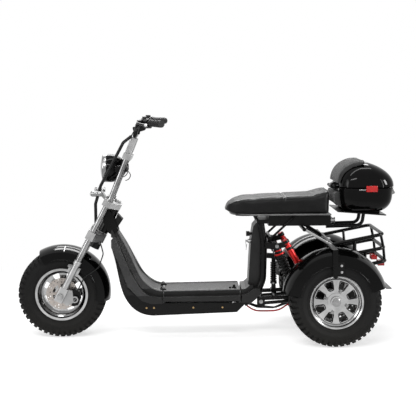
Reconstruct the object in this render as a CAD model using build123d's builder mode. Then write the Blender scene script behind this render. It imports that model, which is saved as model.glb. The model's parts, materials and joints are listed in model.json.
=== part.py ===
"""Three-wheeled electric scooter: one fat front wheel in a raked fork, a low deck over the battery,
a bench seat, two rear wheels on one axle, a tube rack and a hinged top box.

Frame: +X forward, +Y to the rider's left, +Z up, millimetres, the origin on the ground under the middle.
Side places are given as (u, z): u is the distance behind the front axle, z the height above the ground.
"""

import os
from math import cos, radians, sin

from build123d import *

os.makedirs("parts", exist_ok=True)

# Driving dimensions of the whole vehicle
wheelbase = 1387.0
track = 536.0
tyre_r = 228.5
rear_reach = 1735.0
rake = 27.5
fit_gap = 0.3
front_axle_x = (rear_reach - tyre_r) / 2

# Wheels
tyre_half = 90.0
lug_count = 45
lug_gap = 12.0
lug_depth = 9.0
lug_row = 30.0
rib_half = 22.0
bead_r = 127.5
flange_r = 136.0
flange_half = 85.0
rim_seat_half = 80.5
barrel_r = 108.0
hub_r = 38.0
axle_r = 10.0
rear_axle_r = 12.0

# Fork and steering
leg_side = 125.0
slider_r = 16.5
stanchion_r = 13.0
clamp_offset = 40.0
stem_r = 13.0
head_tube_r = 27.0
head_bore_r = 18.0
running_gap = 0.05
slider_top_h = 205.0
lower_clamp_low = 328.0
lower_clamp_t = 44.0
head_gap = 5.0
head_length = 138.0
upper_clamp_t = 30.0
bearing_t = 10.0
bearing_inset = 7.0
lower_clamp_h = (lower_clamp_low, lower_clamp_low + lower_clamp_t)
head_h = (lower_clamp_h[1] + head_gap, lower_clamp_h[1] + head_gap + head_length)
bearing_h = (head_h[0] + bearing_inset, head_h[1] - bearing_inset - bearing_t)
upper_clamp_h = (head_h[1] + head_gap, head_h[1] + head_gap + upper_clamp_t)
riser_lean = 22.0
riser_side = 92.0
riser_r = 13.0
riser_length = 262.0

# Deck, riser and pillar
deck_half = 150.0
belly_half = 130.0
crown_z = 247.0
crown_half = 108.0
pillar_tube_r = 17.0
pillar_side = 80.0

# Seat and tray
seat_rear_u = 1388.0
seat_half = 140.0
tray_u = (1069.0, 1390.0)
tray_z = (580.0, 630.0)
tray_half = 100.0
sheet = 3.0
seat_hinge = (1003.0, 625.0)

# Rear end
fender_r = 264.0
rack_tube_r = 9.0
rack_side = 200.0
box_wall = 4.0
box_hinge = (1398.0, 779.5)


def px(u):
    """X of a place u millimetres behind the front axle."""
    return front_axle_x - u


def side(*points):
    """(u, z) side places as local points of a sketch on Plane.XZ."""
    return [(px(u), z) for u, z in points]


def spot(u, v, z):
    """A point u behind the front axle, v to the left and z up."""
    return Vector(px(u), v, z)


# The fork's own plane: origin at the front axle, local x forward, local y left, local z up along the legs
fork = Plane(
    origin=(front_axle_x, 0, tyre_r),
    x_dir=(cos(radians(rake)), 0, sin(radians(rake))),
    z_dir=(-sin(radians(rake)), 0, cos(radians(rake))),
)


def keep(shape, label):
    """Labels a finished piece and writes it as one STEP file."""
    shape.label = label
    export_step(shape, f"parts/{label}.step")


def tube(points, radius, bend=None):
    """A round bar or tube along a route of 3-D points with rounded corners."""
    with BuildPart() as run:
        with BuildLine() as route:
            if bend is None:
                Polyline(*points)
            else:
                FilletPolyline(*points, radius=bend)
        path = route.wires()[0]
        with BuildSketch(Plane(origin=path @ 0, z_dir=path % 0)):
            Circle(radius)
        sweep(path=path, transition=Transition.ROUND)
    return run.part


def curved_slab(curve, straight, near, far):
    """A flat piece like slab, with its outline smooth along curve and straight along the rest."""
    with BuildPart() as piece:
        with BuildSketch(Plane.XZ.offset(-near)):
            with BuildLine():
                Spline(*side(*curve))
                Polyline(*side(curve[-1], *straight, curve[0]))
            make_face()
        extrude(amount=near - far)
    return piece.part


def slab(outline, near, far):
    """A flat piece with a side outline of (u, z) places, from y = near to y = far."""
    with BuildPart() as piece:
        with BuildSketch(Plane.XZ.offset(-near)):
            Polygon(*side(*outline), align=None)
        extrude(amount=near - far)
    return piece.part


# Tyre: a hollow carcass with a middle rib and a row of shoulder lugs on each side
groove_r = tyre_r - lug_depth
with BuildPart() as carcass:
    with BuildSketch(Plane.YZ):
        Polygon(
            (-62, bead_r + fit_gap), (-rim_seat_half + fit_gap, bead_r + fit_gap),
            (-rim_seat_half + fit_gap, 138), (-tyre_half, 168), (-tyre_half, 205), (-72, 224),
            (-lug_row, tyre_r), (-lug_row, groove_r), (-rib_half, groove_r), (-rib_half, tyre_r),
            (rib_half, tyre_r), (rib_half, groove_r), (lug_row, groove_r), (lug_row, tyre_r),
            (72, 224), (tyre_half, 205), (tyre_half, 168),
            (rim_seat_half - fit_gap, 138), (rim_seat_half - fit_gap, bead_r + fit_gap),
            (62, bead_r + fit_gap), (70, 142), (78, 170), (74, 196), (30, 210), (-30, 210),
            (-74, 196), (-78, 170), (-70, 142),
            align=None,
        )
    revolve(axis=Axis.Y)
with BuildPart() as groove:
    with BuildSketch(Plane.YZ):
        Polygon((lug_row - 1, tyre_r + 9), (lug_row - 1, groove_r), (70, groove_r - 4), (tyre_half + 2, 190),
                (tyre_half + 2, tyre_r + 9), align=None)
    extrude(amount=lug_gap / 2, both=True)
lug_turn = 360 / lug_count
other_groove = mirror(groove.part, about=Plane.XZ)
with BuildPart() as tyre:
    add(carcass.part)
    add([groove.part.rotate(Axis.Y, i * lug_turn) for i in range(lug_count)], mode=Mode.SUBTRACT)
    add([other_groove.rotate(Axis.Y, (i + 0.5) * lug_turn) for i in range(lug_count)], mode=Mode.SUBTRACT)

# Rims: a shared barrel and a face with rounded windows, set deep in front and near the outside behind
with BuildPart() as barrel:
    with BuildSketch(Plane.YZ):
        Polygon(
            (-flange_half, flange_r), (-rim_seat_half, flange_r), (-rim_seat_half, bead_r), (-60, bead_r),
            (-45, 114), (45, 114), (60, bead_r), (rim_seat_half, bead_r), (rim_seat_half, flange_r),
            (flange_half, flange_r), (flange_half, 124), (62, 121.5), (48, barrel_r), (-48, barrel_r),
            (-62, 121.5), (-flange_half, 124),
            align=None,
        )
    revolve(axis=Axis.Y)

windows = 8
window_r = (64.0, 102.0)
with BuildSketch() as window:
    Polygon((window_r[0], -11), (window_r[1], -21), (window_r[1], 21), (window_r[0], 11), align=None)
    fillet(window.vertices(), 8)


def wheel_face(outside, thick):
    """A round face with windows, from y = outside inwards, with a raised ring about its middle."""
    with BuildPart() as face:
        with BuildSketch(Plane.XZ.offset(-outside)):
            Circle(barrel_r + 3)
            with PolarLocations(0, windows, start_angle=180 / windows):
                add(window.sketch, mode=Mode.SUBTRACT)
        extrude(amount=thick)
        with BuildSketch(Plane.XZ.offset(-outside)):
            Circle(hub_r + 6)
        extrude(amount=-3)
    return face.part


front_hub_half = 57.0
front_face = 14.0
with BuildPart() as front_rim:
    add(barrel.part)
    add(wheel_face(front_face, 20))
    with BuildSketch(Plane.XZ):
        Circle(hub_r)
    extrude(amount=front_hub_half, both=True)
    with BuildSketch(Plane.XZ):
        Circle(axle_r + fit_gap)
    extrude(amount=front_hub_half, both=True, mode=Mode.SUBTRACT)

face_out = 56.0
cap_r = 28.0
bolt_circle_r = 53.0
with BuildPart() as rear_rim:
    add(barrel.part)
    add(wheel_face(face_out, 20))
    with BuildSketch(Plane.XZ.offset(40)):
        Circle(hub_r)
    extrude(amount=-40 - face_out)
    with BuildSketch(Plane.XZ.offset(40)):
        Circle(rear_axle_r + fit_gap)
    extrude(amount=-40 - face_out + 8, mode=Mode.SUBTRACT)
    with BuildSketch(Plane.XZ.offset(-face_out)):
        Circle(cap_r)
    extrude(amount=-13)
    chamfer(rear_rim.edges().group_by(Axis.Y)[-1], 4)
    with BuildSketch(Plane.XZ.offset(-face_out)):
        with PolarLocations(bolt_circle_r, 4, start_angle=20):
            Circle(9)
    extrude(amount=-4)

# Front brake disc, on the left end of the front hub
disc_r = 82.0
disc_t = 3.0
with BuildPart() as brake_disc:
    with BuildSketch(Plane.XZ.offset(-front_hub_half - fit_gap)):
        Circle(disc_r)
        Circle(50, mode=Mode.SUBTRACT)
        with PolarLocations(0, 5):
            Polygon((24, -9), (60, -5), (60, 5), (24, 9), align=None)
        Circle(30)
        Circle(axle_r + 2, mode=Mode.SUBTRACT)
        with PolarLocations(75, 24):
            Circle(2.6, mode=Mode.SUBTRACT)
        with PolarLocations(62, 18, start_angle=8):
            Circle(3.2, mode=Mode.SUBTRACT)
    extrude(amount=-disc_t)

front_hub = Location((front_axle_x, 0, tyre_r))
rear_left = Location((px(wheelbase), track / 2, tyre_r))
rear_right = Location((px(wheelbase), -track / 2, tyre_r))
flip = Location((0, 0, 0), (0, 0, 180))
keep(tyre.part.moved(front_hub), "front_tyre")
keep(front_rim.part.moved(front_hub), "front_rim")
keep(brake_disc.part.moved(front_hub), "front_disc")
keep(tyre.part.moved(rear_left), "rear_tyre_left")
keep(tyre.part.moved(rear_right), "rear_tyre_right")
keep(rear_rim.part.moved(rear_left), "rear_rim_left")
keep(rear_rim.part.moved(rear_right * flip), "rear_rim_right")

# Fork sliders with the axle, the fender lugs and the brake lug
with BuildPart() as fork_sliders:
    with BuildSketch(fork.offset(-30)):
        with Locations((0, leg_side)):
            Circle(slider_r)
    extrude(amount=slider_top_h + 30)
    with BuildSketch(fork.offset(slider_top_h - 22)):
        with Locations((0, leg_side)):
            Circle(slider_r + 4)
    extrude(amount=22)
    # square foot that clamps the axle
    with BuildSketch(fork.offset(-30)):
        with Locations((0, leg_side)):
            RectangleRounded(46, 2 * slider_r + 2, 7)
    extrude(amount=78)
    # lug for the fender, inside the leg
    with BuildSketch(fork.offset(125)):
        with Locations((0, leg_side - 18)):
            Rectangle(58, 14)
    extrude(amount=45)
    mirror(about=Plane.XZ)
    with BuildSketch(Plane.XZ):
        with Locations((front_axle_x, tyre_r)):
            Circle(axle_r)
    extrude(amount=leg_side + slider_r + 10, both=True)
    # brake lug on the left leg only
    with BuildSketch(Plane.XZ.offset(-91)):
        with BuildLine():
            Polyline(*side((-14, 232), (10, 262), (58, 252), (64, 190), (30, 172), (-14, 205)), close=True)
        make_face()
    extrude(amount=-12)
keep(fork_sliders.part, "fork_sliders")

rib_pitch = 9.0
sleeve_ribs = 12
with BuildPart() as stanchions:
    with BuildSketch(fork.offset(slider_top_h + fit_gap)):
        with Locations((0, leg_side), (0, -leg_side)):
            Circle(stanchion_r)
    extrude(amount=upper_clamp_h[1] - slider_top_h + 6)
    with BuildSketch(fork.offset(slider_top_h + fit_gap)):
        with Locations((0, leg_side), (0, -leg_side)):
            Circle(stanchion_r + 2)
    extrude(amount=lower_clamp_h[0] - slider_top_h - 2)
    # ribs of the dust sleeve
    for rib in range(sleeve_ribs):
        with BuildSketch(fork.offset(slider_top_h + (rib + 1) * rib_pitch)):
            with Locations((0, leg_side), (0, -leg_side)):
                Circle(stanchion_r + 4)
        extrude(amount=rib_pitch / 2)


def triple_clamp(low, high, notch):
    """A clamp plate across both legs, notched in front between them."""
    with BuildPart() as plate:
        with BuildSketch(fork.offset(low)):
            with BuildLine():
                Polyline(
                    (24, -leg_side - 10), (24, leg_side + 10), (10, leg_side + 25), (-18, leg_side + 25),
                    (-28, leg_side - 4), (-clamp_offset - 28, 34), (-clamp_offset - 28, -34),
                    (-28, -leg_side + 4), (-18, -leg_side - 25), (10, -leg_side - 25),
                    close=True,
                )
            make_face()
            with Locations((0, leg_side), (0, -leg_side)):
                Circle(stanchion_r + 0.1, mode=Mode.SUBTRACT)
            with Locations((24, 0)):
                Rectangle(notch, 120, mode=Mode.SUBTRACT)
        extrude(amount=high - low)
    return plate.part


with BuildPart() as lower_clamp:
    add(triple_clamp(*lower_clamp_h, 36))
    with BuildSketch(fork.offset(lower_clamp_h[1])):
        with Locations((-clamp_offset, 0)):
            Circle(stem_r)
    extrude(amount=upper_clamp_h[0] - lower_clamp_h[1] - 0.1)
    for low in bearing_h:
        with BuildSketch(fork.offset(low)):
            with Locations((-clamp_offset, 0)):
                Circle(head_bore_r - running_gap)
        extrude(amount=bearing_t)
keep(lower_clamp.part, "lower_clamp")

with BuildPart() as upper_clamp:
    add(triple_clamp(*upper_clamp_h, 36))
    with BuildSketch(fork.offset(upper_clamp_h[1])):
        with Locations((-clamp_offset, 0)):
            RegularPolygon(17, 6)
    extrude(amount=12)
keep(upper_clamp.part, "upper_clamp")

# Chrome risers from the upper clamp to the top clamp
riser_foot = fork.from_local_coords(Vector(-4, 0, upper_clamp_h[1] + 0.1))
riser_plane = Plane(
    origin=riser_foot,
    x_dir=(cos(radians(riser_lean)), 0, sin(radians(riser_lean))),
    z_dir=(-sin(radians(riser_lean)), 0, cos(radians(riser_lean))),
)
with BuildPart() as risers:
    with BuildSketch(fork.offset(upper_clamp_h[1] + 0.1)):
        with Locations((-4, riser_side), (-4, -riser_side)):
            Circle(riser_r + 4)
    extrude(amount=14)
    with BuildSketch(riser_plane.offset(4)):
        with Locations((0, riser_side), (0, -riser_side)):
            Circle(riser_r)
    extrude(amount=riser_length - 4)

with BuildPart() as top_clamp:
    with BuildSketch(riser_plane.offset(riser_length - 34)):
        with Locations((0, 0)):
            Rectangle(44, 2 * riser_side + 44)
        with Locations((0, riser_side), (0, -riser_side)):
            Circle(riser_r + 0.1, mode=Mode.SUBTRACT)
    extrude(amount=30)
    with BuildSketch(riser_plane.offset(riser_length - 4)):
        with Locations((2, 45), (2, -45)):
            RectangleRounded(36, 34, 8)
    extrude(amount=84)
keep(top_clamp.part, "top_clamp")

# Handlebar: a bent tube held on the two posts of the top clamp
bar_r = 11.0
grip_r = 17.0
bar_mid = riser_plane.from_local_coords(Vector(2, 0, riser_length + 80 + bar_r + fit_gap))
bar_knee = bar_mid + Vector(-24, 138, 75)
bar_end = bar_mid + Vector(-141, 350, 68)
with BuildPart() as handlebar:
    bar_points = [Vector(bar_mid.X, 0, bar_mid.Z), Vector(bar_mid.X, 84, bar_mid.Z), bar_knee, bar_end]
    add(tube(bar_points, bar_r, 34))
    mirror(about=Plane.XZ)
keep(handlebar.part, "handlebar")

# Along the outer straight of the bar: local z runs from the end inwards, local x forward
bar_way = (bar_knee - bar_end).normalized()
bar_plane = Plane(origin=bar_end, x_dir=Vector(0, 0, 1).cross(bar_way), z_dir=bar_way)
grip_length = 118.0
with BuildPart() as grip:
    with BuildSketch(bar_plane.offset(-6)):
        Circle(grip_r)
    extrude(amount=grip_length + 6)
    with BuildSketch(bar_plane.offset(-fit_gap)):
        Circle(bar_r + fit_gap)
    extrude(amount=grip_length + fit_gap, mode=Mode.SUBTRACT)
with BuildPart() as grips:
    add(grip.part)
    mirror(about=Plane.XZ)
keep(grips.part, "grips")

# Switch pod and lever perch with its lever, one pair for each side
with BuildPart() as perch:
    with BuildSketch(bar_plane.offset(grip_length + 2)):
        Circle(21)
        with Locations((4, -10)):
            RectangleRounded(34, 34, 8)
        Circle(bar_r + fit_gap, mode=Mode.SUBTRACT)
    extrude(amount=34)
    with BuildSketch(bar_plane.offset(grip_length + 38)):
        Circle(18)
        with Locations((22, 2)):
            RectangleRounded(40, 20, 6)
        Circle(bar_r + fit_gap, mode=Mode.SUBTRACT)
    extrude(amount=22)
    # mirror boss with its threaded hole
    with BuildSketch(bar_plane.offset(grip_length + 38)):
        with Locations((4, 20.5)):
            Rectangle(18, 17)
    extrude(amount=20)
    hole_way = bar_plane.y_dir
    mirror_hole = bar_plane.from_local_coords(Vector(4, 29, grip_length + 48))
    with BuildSketch(Plane(origin=mirror_hole, z_dir=hole_way)):
        Circle(4)
    extrude(amount=-12, mode=Mode.SUBTRACT)

lever_points = [
    bar_plane.from_local_coords(Vector(44, 2, grip_length + 49)),
    bar_plane.from_local_coords(Vector(58, -2, grip_length + 20)),
    bar_plane.from_local_coords(Vector(55, -6, 76)),
    bar_plane.from_local_coords(Vector(58, -8, 46)),
]
with BuildPart() as lever:
    add(tube(lever_points, 5.5, 16))
    with Locations(lever_points[-1]):
        Sphere(8)
    add(perch.part, mode=Mode.SUBTRACT)
with BuildPart() as levers:
    add(lever.part)
    mirror(about=Plane.XZ)
keep(levers.part, "brake_levers")

# Display pod in the middle of the bar
with BuildPart() as display:
    with BuildSketch(Plane.XZ):
        with Locations((bar_mid.X, bar_mid.Z)):
            Polygon((6, 13), (-52, 29), (-58, 57), (14, 45), align=None)
    extrude(amount=42, both=True)
    chamfer(display.edges().filter_by(Axis.Y), 4)
    with BuildSketch(Plane.XZ):
        with Locations((bar_mid.X, bar_mid.Z)):
            Polygon((-4, 7), (-22, 7), (-24, 23), (-2, 19), align=None)
    extrude(amount=12, both=True)
    add(handlebar.part, mode=Mode.SUBTRACT)
with BuildPart() as controls:
    add(perch.part)
    mirror(about=Plane.XZ)
    add(display.part)
keep(controls.part, "controls")

# Headlight: bowl, chrome ring with the lens, two ears to the risers
lamp_r = 73.0
lamp_back = riser_plane.from_local_coords(Vector(78.6, 0, 142.3))
lamp_x, lamp_z = lamp_back.X, lamp_back.Z
with BuildPart() as lamp_bowl:
    with BuildSketch(Plane.XZ):
        with BuildLine():
            Line((lamp_x, lamp_z), (lamp_x, lamp_z + lamp_r - 1))
            ThreePointArc((lamp_x, lamp_z + lamp_r - 1), (lamp_x - 74, lamp_z + 52),
                          (lamp_x - 103, lamp_z + 12))
            Line((lamp_x - 103, lamp_z + 12), (lamp_x - 103, lamp_z))
            Line((lamp_x - 103, lamp_z), (lamp_x, lamp_z))
        make_face()
    revolve(axis=Axis(lamp_back, Vector(1, 0, 0)))
keep(lamp_bowl.part, "headlight_bowl")

with BuildPart() as lamp_front:
    with BuildSketch(Plane.XZ):
        with Locations((lamp_x, lamp_z)):
            Polygon((34, 0), (32, 30), (28, 52), (22, 66), (12, lamp_r), (fit_gap, lamp_r), (fit_gap, 0),
                    align=None)
    revolve(axis=Axis(lamp_back, Vector(1, 0, 0)))
keep(lamp_front.part, "headlight_front")

with BuildPart() as lamp_ears:
    with BuildSketch(Plane.XZ.offset(-40)):
        with Locations((lamp_x, lamp_z)):
            Polygon((-47, -12), (-100, -14), (-107, 14), (-47, 12), align=None)
    extrude(amount=-(riser_side - riser_r - 40 + 1))
    mirror(about=Plane.XZ)
    add(risers.part, mode=Mode.SUBTRACT)
    add(lamp_bowl.part, mode=Mode.SUBTRACT)
with BuildPart() as fork_tubes:
    add(stanchions.part)
    add(risers.part)
    add(lamp_ears.part)
keep(fork_tubes.part, "fork_tubes")

# Turn signals on a bar in front of the upper clamp
signal_side = 118.0
signal_r = 14.0
signal_length = 44.0
signal_bar = riser_foot + Vector(51.6, 0, 35.4)
with BuildPart() as signals:
    add(tube([signal_bar + Vector(0, -signal_side, 0), signal_bar + Vector(0, signal_side, 0)], 5))
    with BuildSketch(Plane.XZ.offset(-30)):
        with Locations((signal_bar.X, signal_bar.Z)):
            Polygon((6, -8), (-26, -44), (-34, -38), (-6, 6), align=None)
    extrude(amount=60)
    with BuildSketch(Plane.YZ.offset(signal_bar.X + 11 - signal_length / 2)):
        with Locations((signal_side, signal_bar.Z + 4), (-signal_side, signal_bar.Z + 4)):
            Circle(signal_r)
    extrude(amount=signal_length)
    for way in (1, -1):
        with Locations(signal_bar + Vector(11 + signal_length / 2, way * signal_side, 4)):
            Sphere(signal_r)
    add(upper_clamp.part, mode=Mode.SUBTRACT)
keep(signals.part, "turn_signals")

# Horn under the lower clamp
with BuildPart() as horn:
    with BuildSketch(fork.offset(lower_clamp_h[0] - fit_gap)):
        with Locations((-38, 0)):
            Rectangle(20, 20)
    extrude(amount=-16)
    with BuildSketch(fork.offset(lower_clamp_h[0] - 16)):
        with Locations((-36, 0)):
            Circle(28)
    extrude(amount=-30)
keep(horn.part, "horn")

# Cable loom down the left of the headlight to the lower clamp
loom_side = 88.0
loom_points = [
    spot(372, 80, 1044), spot(330, 86, 1012), spot(281, loom_side, 921),
    spot(212, loom_side, 793), spot(184, loom_side, 700), spot(184, loom_side, 556),
]
with BuildPart() as loom:
    add(tube(loom_points, 8, 24))
    add(handlebar.part, mode=Mode.SUBTRACT)
    add(top_clamp.part, mode=Mode.SUBTRACT)
    add(lower_clamp.part, mode=Mode.SUBTRACT)
    add(signals.part, mode=Mode.SUBTRACT)

# Front fender: a shell over the tyre between the legs, with deeper sides behind the legs
front_fender_r = 249.0
shell_half = 99.5
front_arc = (62.0, 189.0)


def arc_wedge(start, end, reach, width):
    """A prism over the angles start to end about the origin, measured up from the front."""
    steps = 6
    turn = (end - start) / steps
    with BuildPart() as wedge:
        with BuildSketch(Plane.XZ):
            Polygon(
                (0, 0),
                *[(reach * cos(radians(start + i * turn)), reach * sin(radians(start + i * turn)))
                  for i in range(steps + 1)],
                align=None,
            )
        extrude(amount=width, both=True)
    return wedge.part


def fender_shell(outer_r, half, crown, lip, thick=3.0):
    """A hoop shell about the origin's Y axis: crowned on top, with side walls down to a rolled edge."""
    with BuildPart() as hoop:
        with BuildSketch(Plane.YZ):
            with BuildLine():
                ThreePointArc((-half, outer_r - crown), (0, outer_r), (half, outer_r - crown))
                Line((half, outer_r - crown), (half, outer_r - lip))
                Line((half, outer_r - lip), (half - thick, outer_r - lip))
                Line((half - thick, outer_r - lip), (half - thick, outer_r - crown - thick))
                ThreePointArc((half - thick, outer_r - crown - thick), (0, outer_r - thick),
                              (thick - half, outer_r - crown - thick))
                Line((thick - half, outer_r - crown - thick), (thick - half, outer_r - lip))
                Line((thick - half, outer_r - lip), (-half, outer_r - lip))
                Line((-half, outer_r - lip), (-half, outer_r - crown))
            make_face()
            with Locations((half - thick / 2, outer_r - lip), (thick / 2 - half, outer_r - lip)):
                Circle(thick)
        revolve(axis=Axis.Y)
    return hoop.part


with BuildPart() as front_fender:
    add(fender_shell(front_fender_r, shell_half, 26, 66))
    add(arc_wedge(*front_arc, 400, 120), mode=Mode.INTERSECT)
    with BuildSketch(Plane.XZ.offset(-shell_half)):
        with BuildLine():
            Polyline((-215, -32), (-219, 20), (-196, 92), (-155, 146), (-105, 186), (-40, 205), (-40, 160),
                     (-78, 140), (-110, 112))
            ThreePointArc((-110, 112), (-172, 52), (-190, -32))
            Line((-190, -32), (-215, -32))
        make_face()
    extrude(amount=3)
    mirror(about=Plane.XZ)
front_fender_part = front_fender.part.moved(front_hub)
with BuildPart() as front_fender_fit:
    add(front_fender_part)
    add(fork_sliders.part, mode=Mode.SUBTRACT)
keep(front_fender_fit.part, "front_fender")

# Front brake caliper around the disc, bolted to the brake lug
with BuildPart() as caliper:
    with BuildSketch(Plane.XZ.offset(-48)):
        Polygon(*side((46, 246), (66, 262), (94, 240), (98, 205), (84, 172), (52, 166), (50, 205)),
                align=None)
    extrude(amount=-40)
    with BuildSketch(Plane.XZ.offset(-52)):
        with Locations((front_axle_x, tyre_r)):
            Circle(disc_r + 5)
    extrude(amount=-14, mode=Mode.SUBTRACT)
    with BuildSketch(Plane.XZ.offset(-88)):
        with Locations((px(70), 205)):
            Circle(20)
    extrude(amount=-14)
    add(fork_sliders.part, mode=Mode.SUBTRACT)
keep(caliper.part, "front_caliper")

# Brake hose from the lower clamp down to the caliper
hose_points = [
    spot(200, 60, 505), spot(219, 84, 440), spot(196, 104, 372), spot(120, 104, 320), spot(84, 98, 250),
]
with BuildPart() as hose:
    add(tube(hose_points, 3, 30))
    add(lower_clamp.part, mode=Mode.SUBTRACT)
    add(caliper.part, mode=Mode.SUBTRACT)
with BuildPart() as fork_cables:
    add(loom.part)
    add(hose.part)
keep(fork_cables.part, "fork_cables")

# Head tube with its leaf plates and the controller box behind it
head_low, head_high = head_h
with BuildPart() as head_tube:
    with BuildSketch(fork.offset(head_low)):
        with Locations((-clamp_offset, 0)):
            Circle(head_tube_r)
    extrude(amount=head_high - head_low)
    leaf = [(219, 664), (240, 668), (264, 640), (284, 590), (296, 552), (262, 528), (240, 544), (216, 600)]
    add(slab(leaf, 26, 34))
    add(slab(leaf, -34, -26))
    with BuildSketch(fork.offset(head_low - 1)):
        with Locations((-clamp_offset, 0)):
            Circle(head_bore_r)
    extrude(amount=head_high - head_low + 2, mode=Mode.SUBTRACT)
keep(head_tube.part, "head_tube")

with BuildPart() as controller:
    add(slab([(291, 640), (318, 610), (292, 572), (262, 572)], -25.5, 25.5))
    add(head_tube.part, mode=Mode.SUBTRACT)
keep(controller.part, "controller_box")

# Lower body: down tube box and battery tray in one steel shell
seam_line = [(258, 468), (292, 400), (344, 275), (419, 203), (464, 188), (930, 188)]
belly_line = [(962, 188), (948, 182), (905, 138), (489, 124), (440, 128), (391, 148), (331, 218), (288, 358),
              (266, 440)]


def front_view(*half_widths):
    """A prism along X whose front outline has the given (half width, z) pairs."""
    right = [(w, z) for w, z in half_widths]
    left = [(-w, z) for w, z in reversed(half_widths)]
    with BuildPart() as prism:
        with BuildSketch(Plane.YZ):
            Polygon(*right, *left, align=None)
        extrude(amount=1200, both=True)
    return prism.part


# Room for the lower clamp as it swings with the steering
swing_r = 80.0
with BuildPart() as clamp_swing:
    with BuildSketch(fork.offset(lower_clamp_h[0] - 10)):
        with Locations((-clamp_offset, 0)):
            Circle(swing_r)
    extrude(amount=lower_clamp_h[1] - lower_clamp_h[0] + 15.5)

bay_u = (545.0, 900.0)
bay_half = 122.0
with BuildPart() as belly:
    add(curved_slab(belly_line[3:], seam_line + belly_line[:3], -belly_half, belly_half))
    add(front_view((belly_half, 100), (belly_half, 230), (92, 330), (60, 430), (34, 520), (30, 600)),
        mode=Mode.INTERSECT)
    with BuildSketch(Plane.XY.offset(132)):
        with Locations((px(sum(bay_u) / 2), 0)):
            Rectangle(bay_u[1] - bay_u[0], 2 * bay_half)
    extrude(amount=100, mode=Mode.SUBTRACT)
    add(clamp_swing.part, mode=Mode.SUBTRACT)
keep(belly.part, "lower_body")

with BuildPart() as battery:
    with BuildSketch(Plane.XY.offset(132 + fit_gap)):
        with Locations((px(sum(bay_u) / 2), 0)):
            Rectangle(320, 220)
    extrude(amount=50)
keep(battery.part, "battery")

deck_hinge_y = (-70, 70)
hinge_pin_r = 3.0
lid_hinge = (524.0, 254.0)


def hinge_pin(place, middle, half, radius=hinge_pin_r):
    """A pin along Y through a side place, reaching half to each side of y = middle."""
    with BuildPart() as pin:
        with BuildSketch(Plane.XZ.offset(-middle)):
            with Locations((px(place[0]), place[1])):
                Circle(radius)
        extrude(amount=half, both=True)
    return pin.part


# Front cover: the edge band with the raised middle
cover_edge = [(256, 548), (262, 560), (300, 478), (337, 394), (398, 284), (440, 240), (480, 224), (522, 220)]
cover_mid = [(284, 566), (328, 488), (364, 411), (409, 318), (446, 279), (486, 252), (522, crown_z)]
under = [(u, z + fit_gap) for u, z in reversed(seam_line[:-1])]
with BuildPart() as crown:
    crown_floor = [(u, z - 8) for u, z in reversed(cover_edge[1:])]
    add(curved_slab(cover_mid, crown_floor, -crown_half, crown_half))
    add(front_view((crown_half, 100), (crown_half, 260), (82, 330), (54, 430), (30, 520), (22, 600)),
        mode=Mode.INTERSECT)
with BuildPart() as front_cover:
    add(curved_slab(cover_edge[1:], [(522, 188 + fit_gap)] + under + cover_edge[:1], -deck_half, deck_half))
    add(front_view((deck_half, 100), (deck_half, 230), (112, 330), (80, 430), (48, 520), (36, 600)),
        mode=Mode.INTERSECT)
    add(crown.part)
    add(head_tube.part, mode=Mode.SUBTRACT)
    add(controller.part, mode=Mode.SUBTRACT)
    add(clamp_swing.part, mode=Mode.SUBTRACT)
    for y in deck_hinge_y:
        for middle in (y - 22, y + 22):
            knuckle = [(506, 244), (512, 256), (518, 260), (528, 259), (529, 251), (522, 244)]
            add(slab(knuckle, middle - 4, middle + 4))
        add(hinge_pin(lid_hinge, y, 22))
keep(front_cover.part, "front_cover")

# Deck lid over the battery bay, hinged at its front top edge
lid_u = (528.0, 921.0)
with BuildPart() as deck_lid:
    add(slab([(lid_u[0], 200), (lid_u[0], 222), (lid_u[1], 226), (lid_u[1], 200)], -deck_half, deck_half))
    crown_line = [(lid_u[0], 215), (lid_u[0], crown_z), (lid_u[1], 253), (lid_u[1], 215)]
    add(slab(crown_line, -crown_half, crown_half))
    add(slab([(534, 190), (534, 217), (915, 221), (915, 190)], -145, 145), mode=Mode.SUBTRACT)
    add(slab([(534, 205), (534, 243), (915, 249), (915, 205)], -103, 103), mode=Mode.SUBTRACT)
    for y in deck_hinge_y:
        knuckle = [(528, 243), (540, 243), (540, 252), (lid_hinge[0], 260), (519, 258), (519, 251)]
        add(slab(knuckle, y - 12, y + 12))
        with BuildSketch(Plane.XZ.offset(-y)):
            with Locations((px(lid_hinge[0]), lid_hinge[1])):
                Circle(hinge_pin_r + running_gap)
        extrude(amount=12, both=True, mode=Mode.SUBTRACT)
keep(deck_lid.part, "deck_lid")

# Rear axle with its motor, and the two hub spindles
with BuildPart() as rear_axle:
    with BuildSketch(Plane.XZ):
        with Locations((px(wheelbase), tyre_r)):
            Circle(rear_axle_r)
    extrude(amount=track / 2 + face_out - 10, both=True)
    with BuildSketch(Plane.XZ):
        with Locations((px(wheelbase), tyre_r)):
            Circle(26)
    extrude(amount=track / 2 - 50, both=True)
    with BuildSketch(Plane.XZ):
        with Locations((px(wheelbase), tyre_r)):
            Circle(72)
    extrude(amount=70, both=True)
keep(rear_axle.part, "rear_axle")

# Shock absorbers stand between these two bolts on each side
shock_side = 130.0
shock_bolt_r = 5.0
shock_eye = (1108.0, 482.0)
shock_lower_eye = (1184.0, 280.0)

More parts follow.
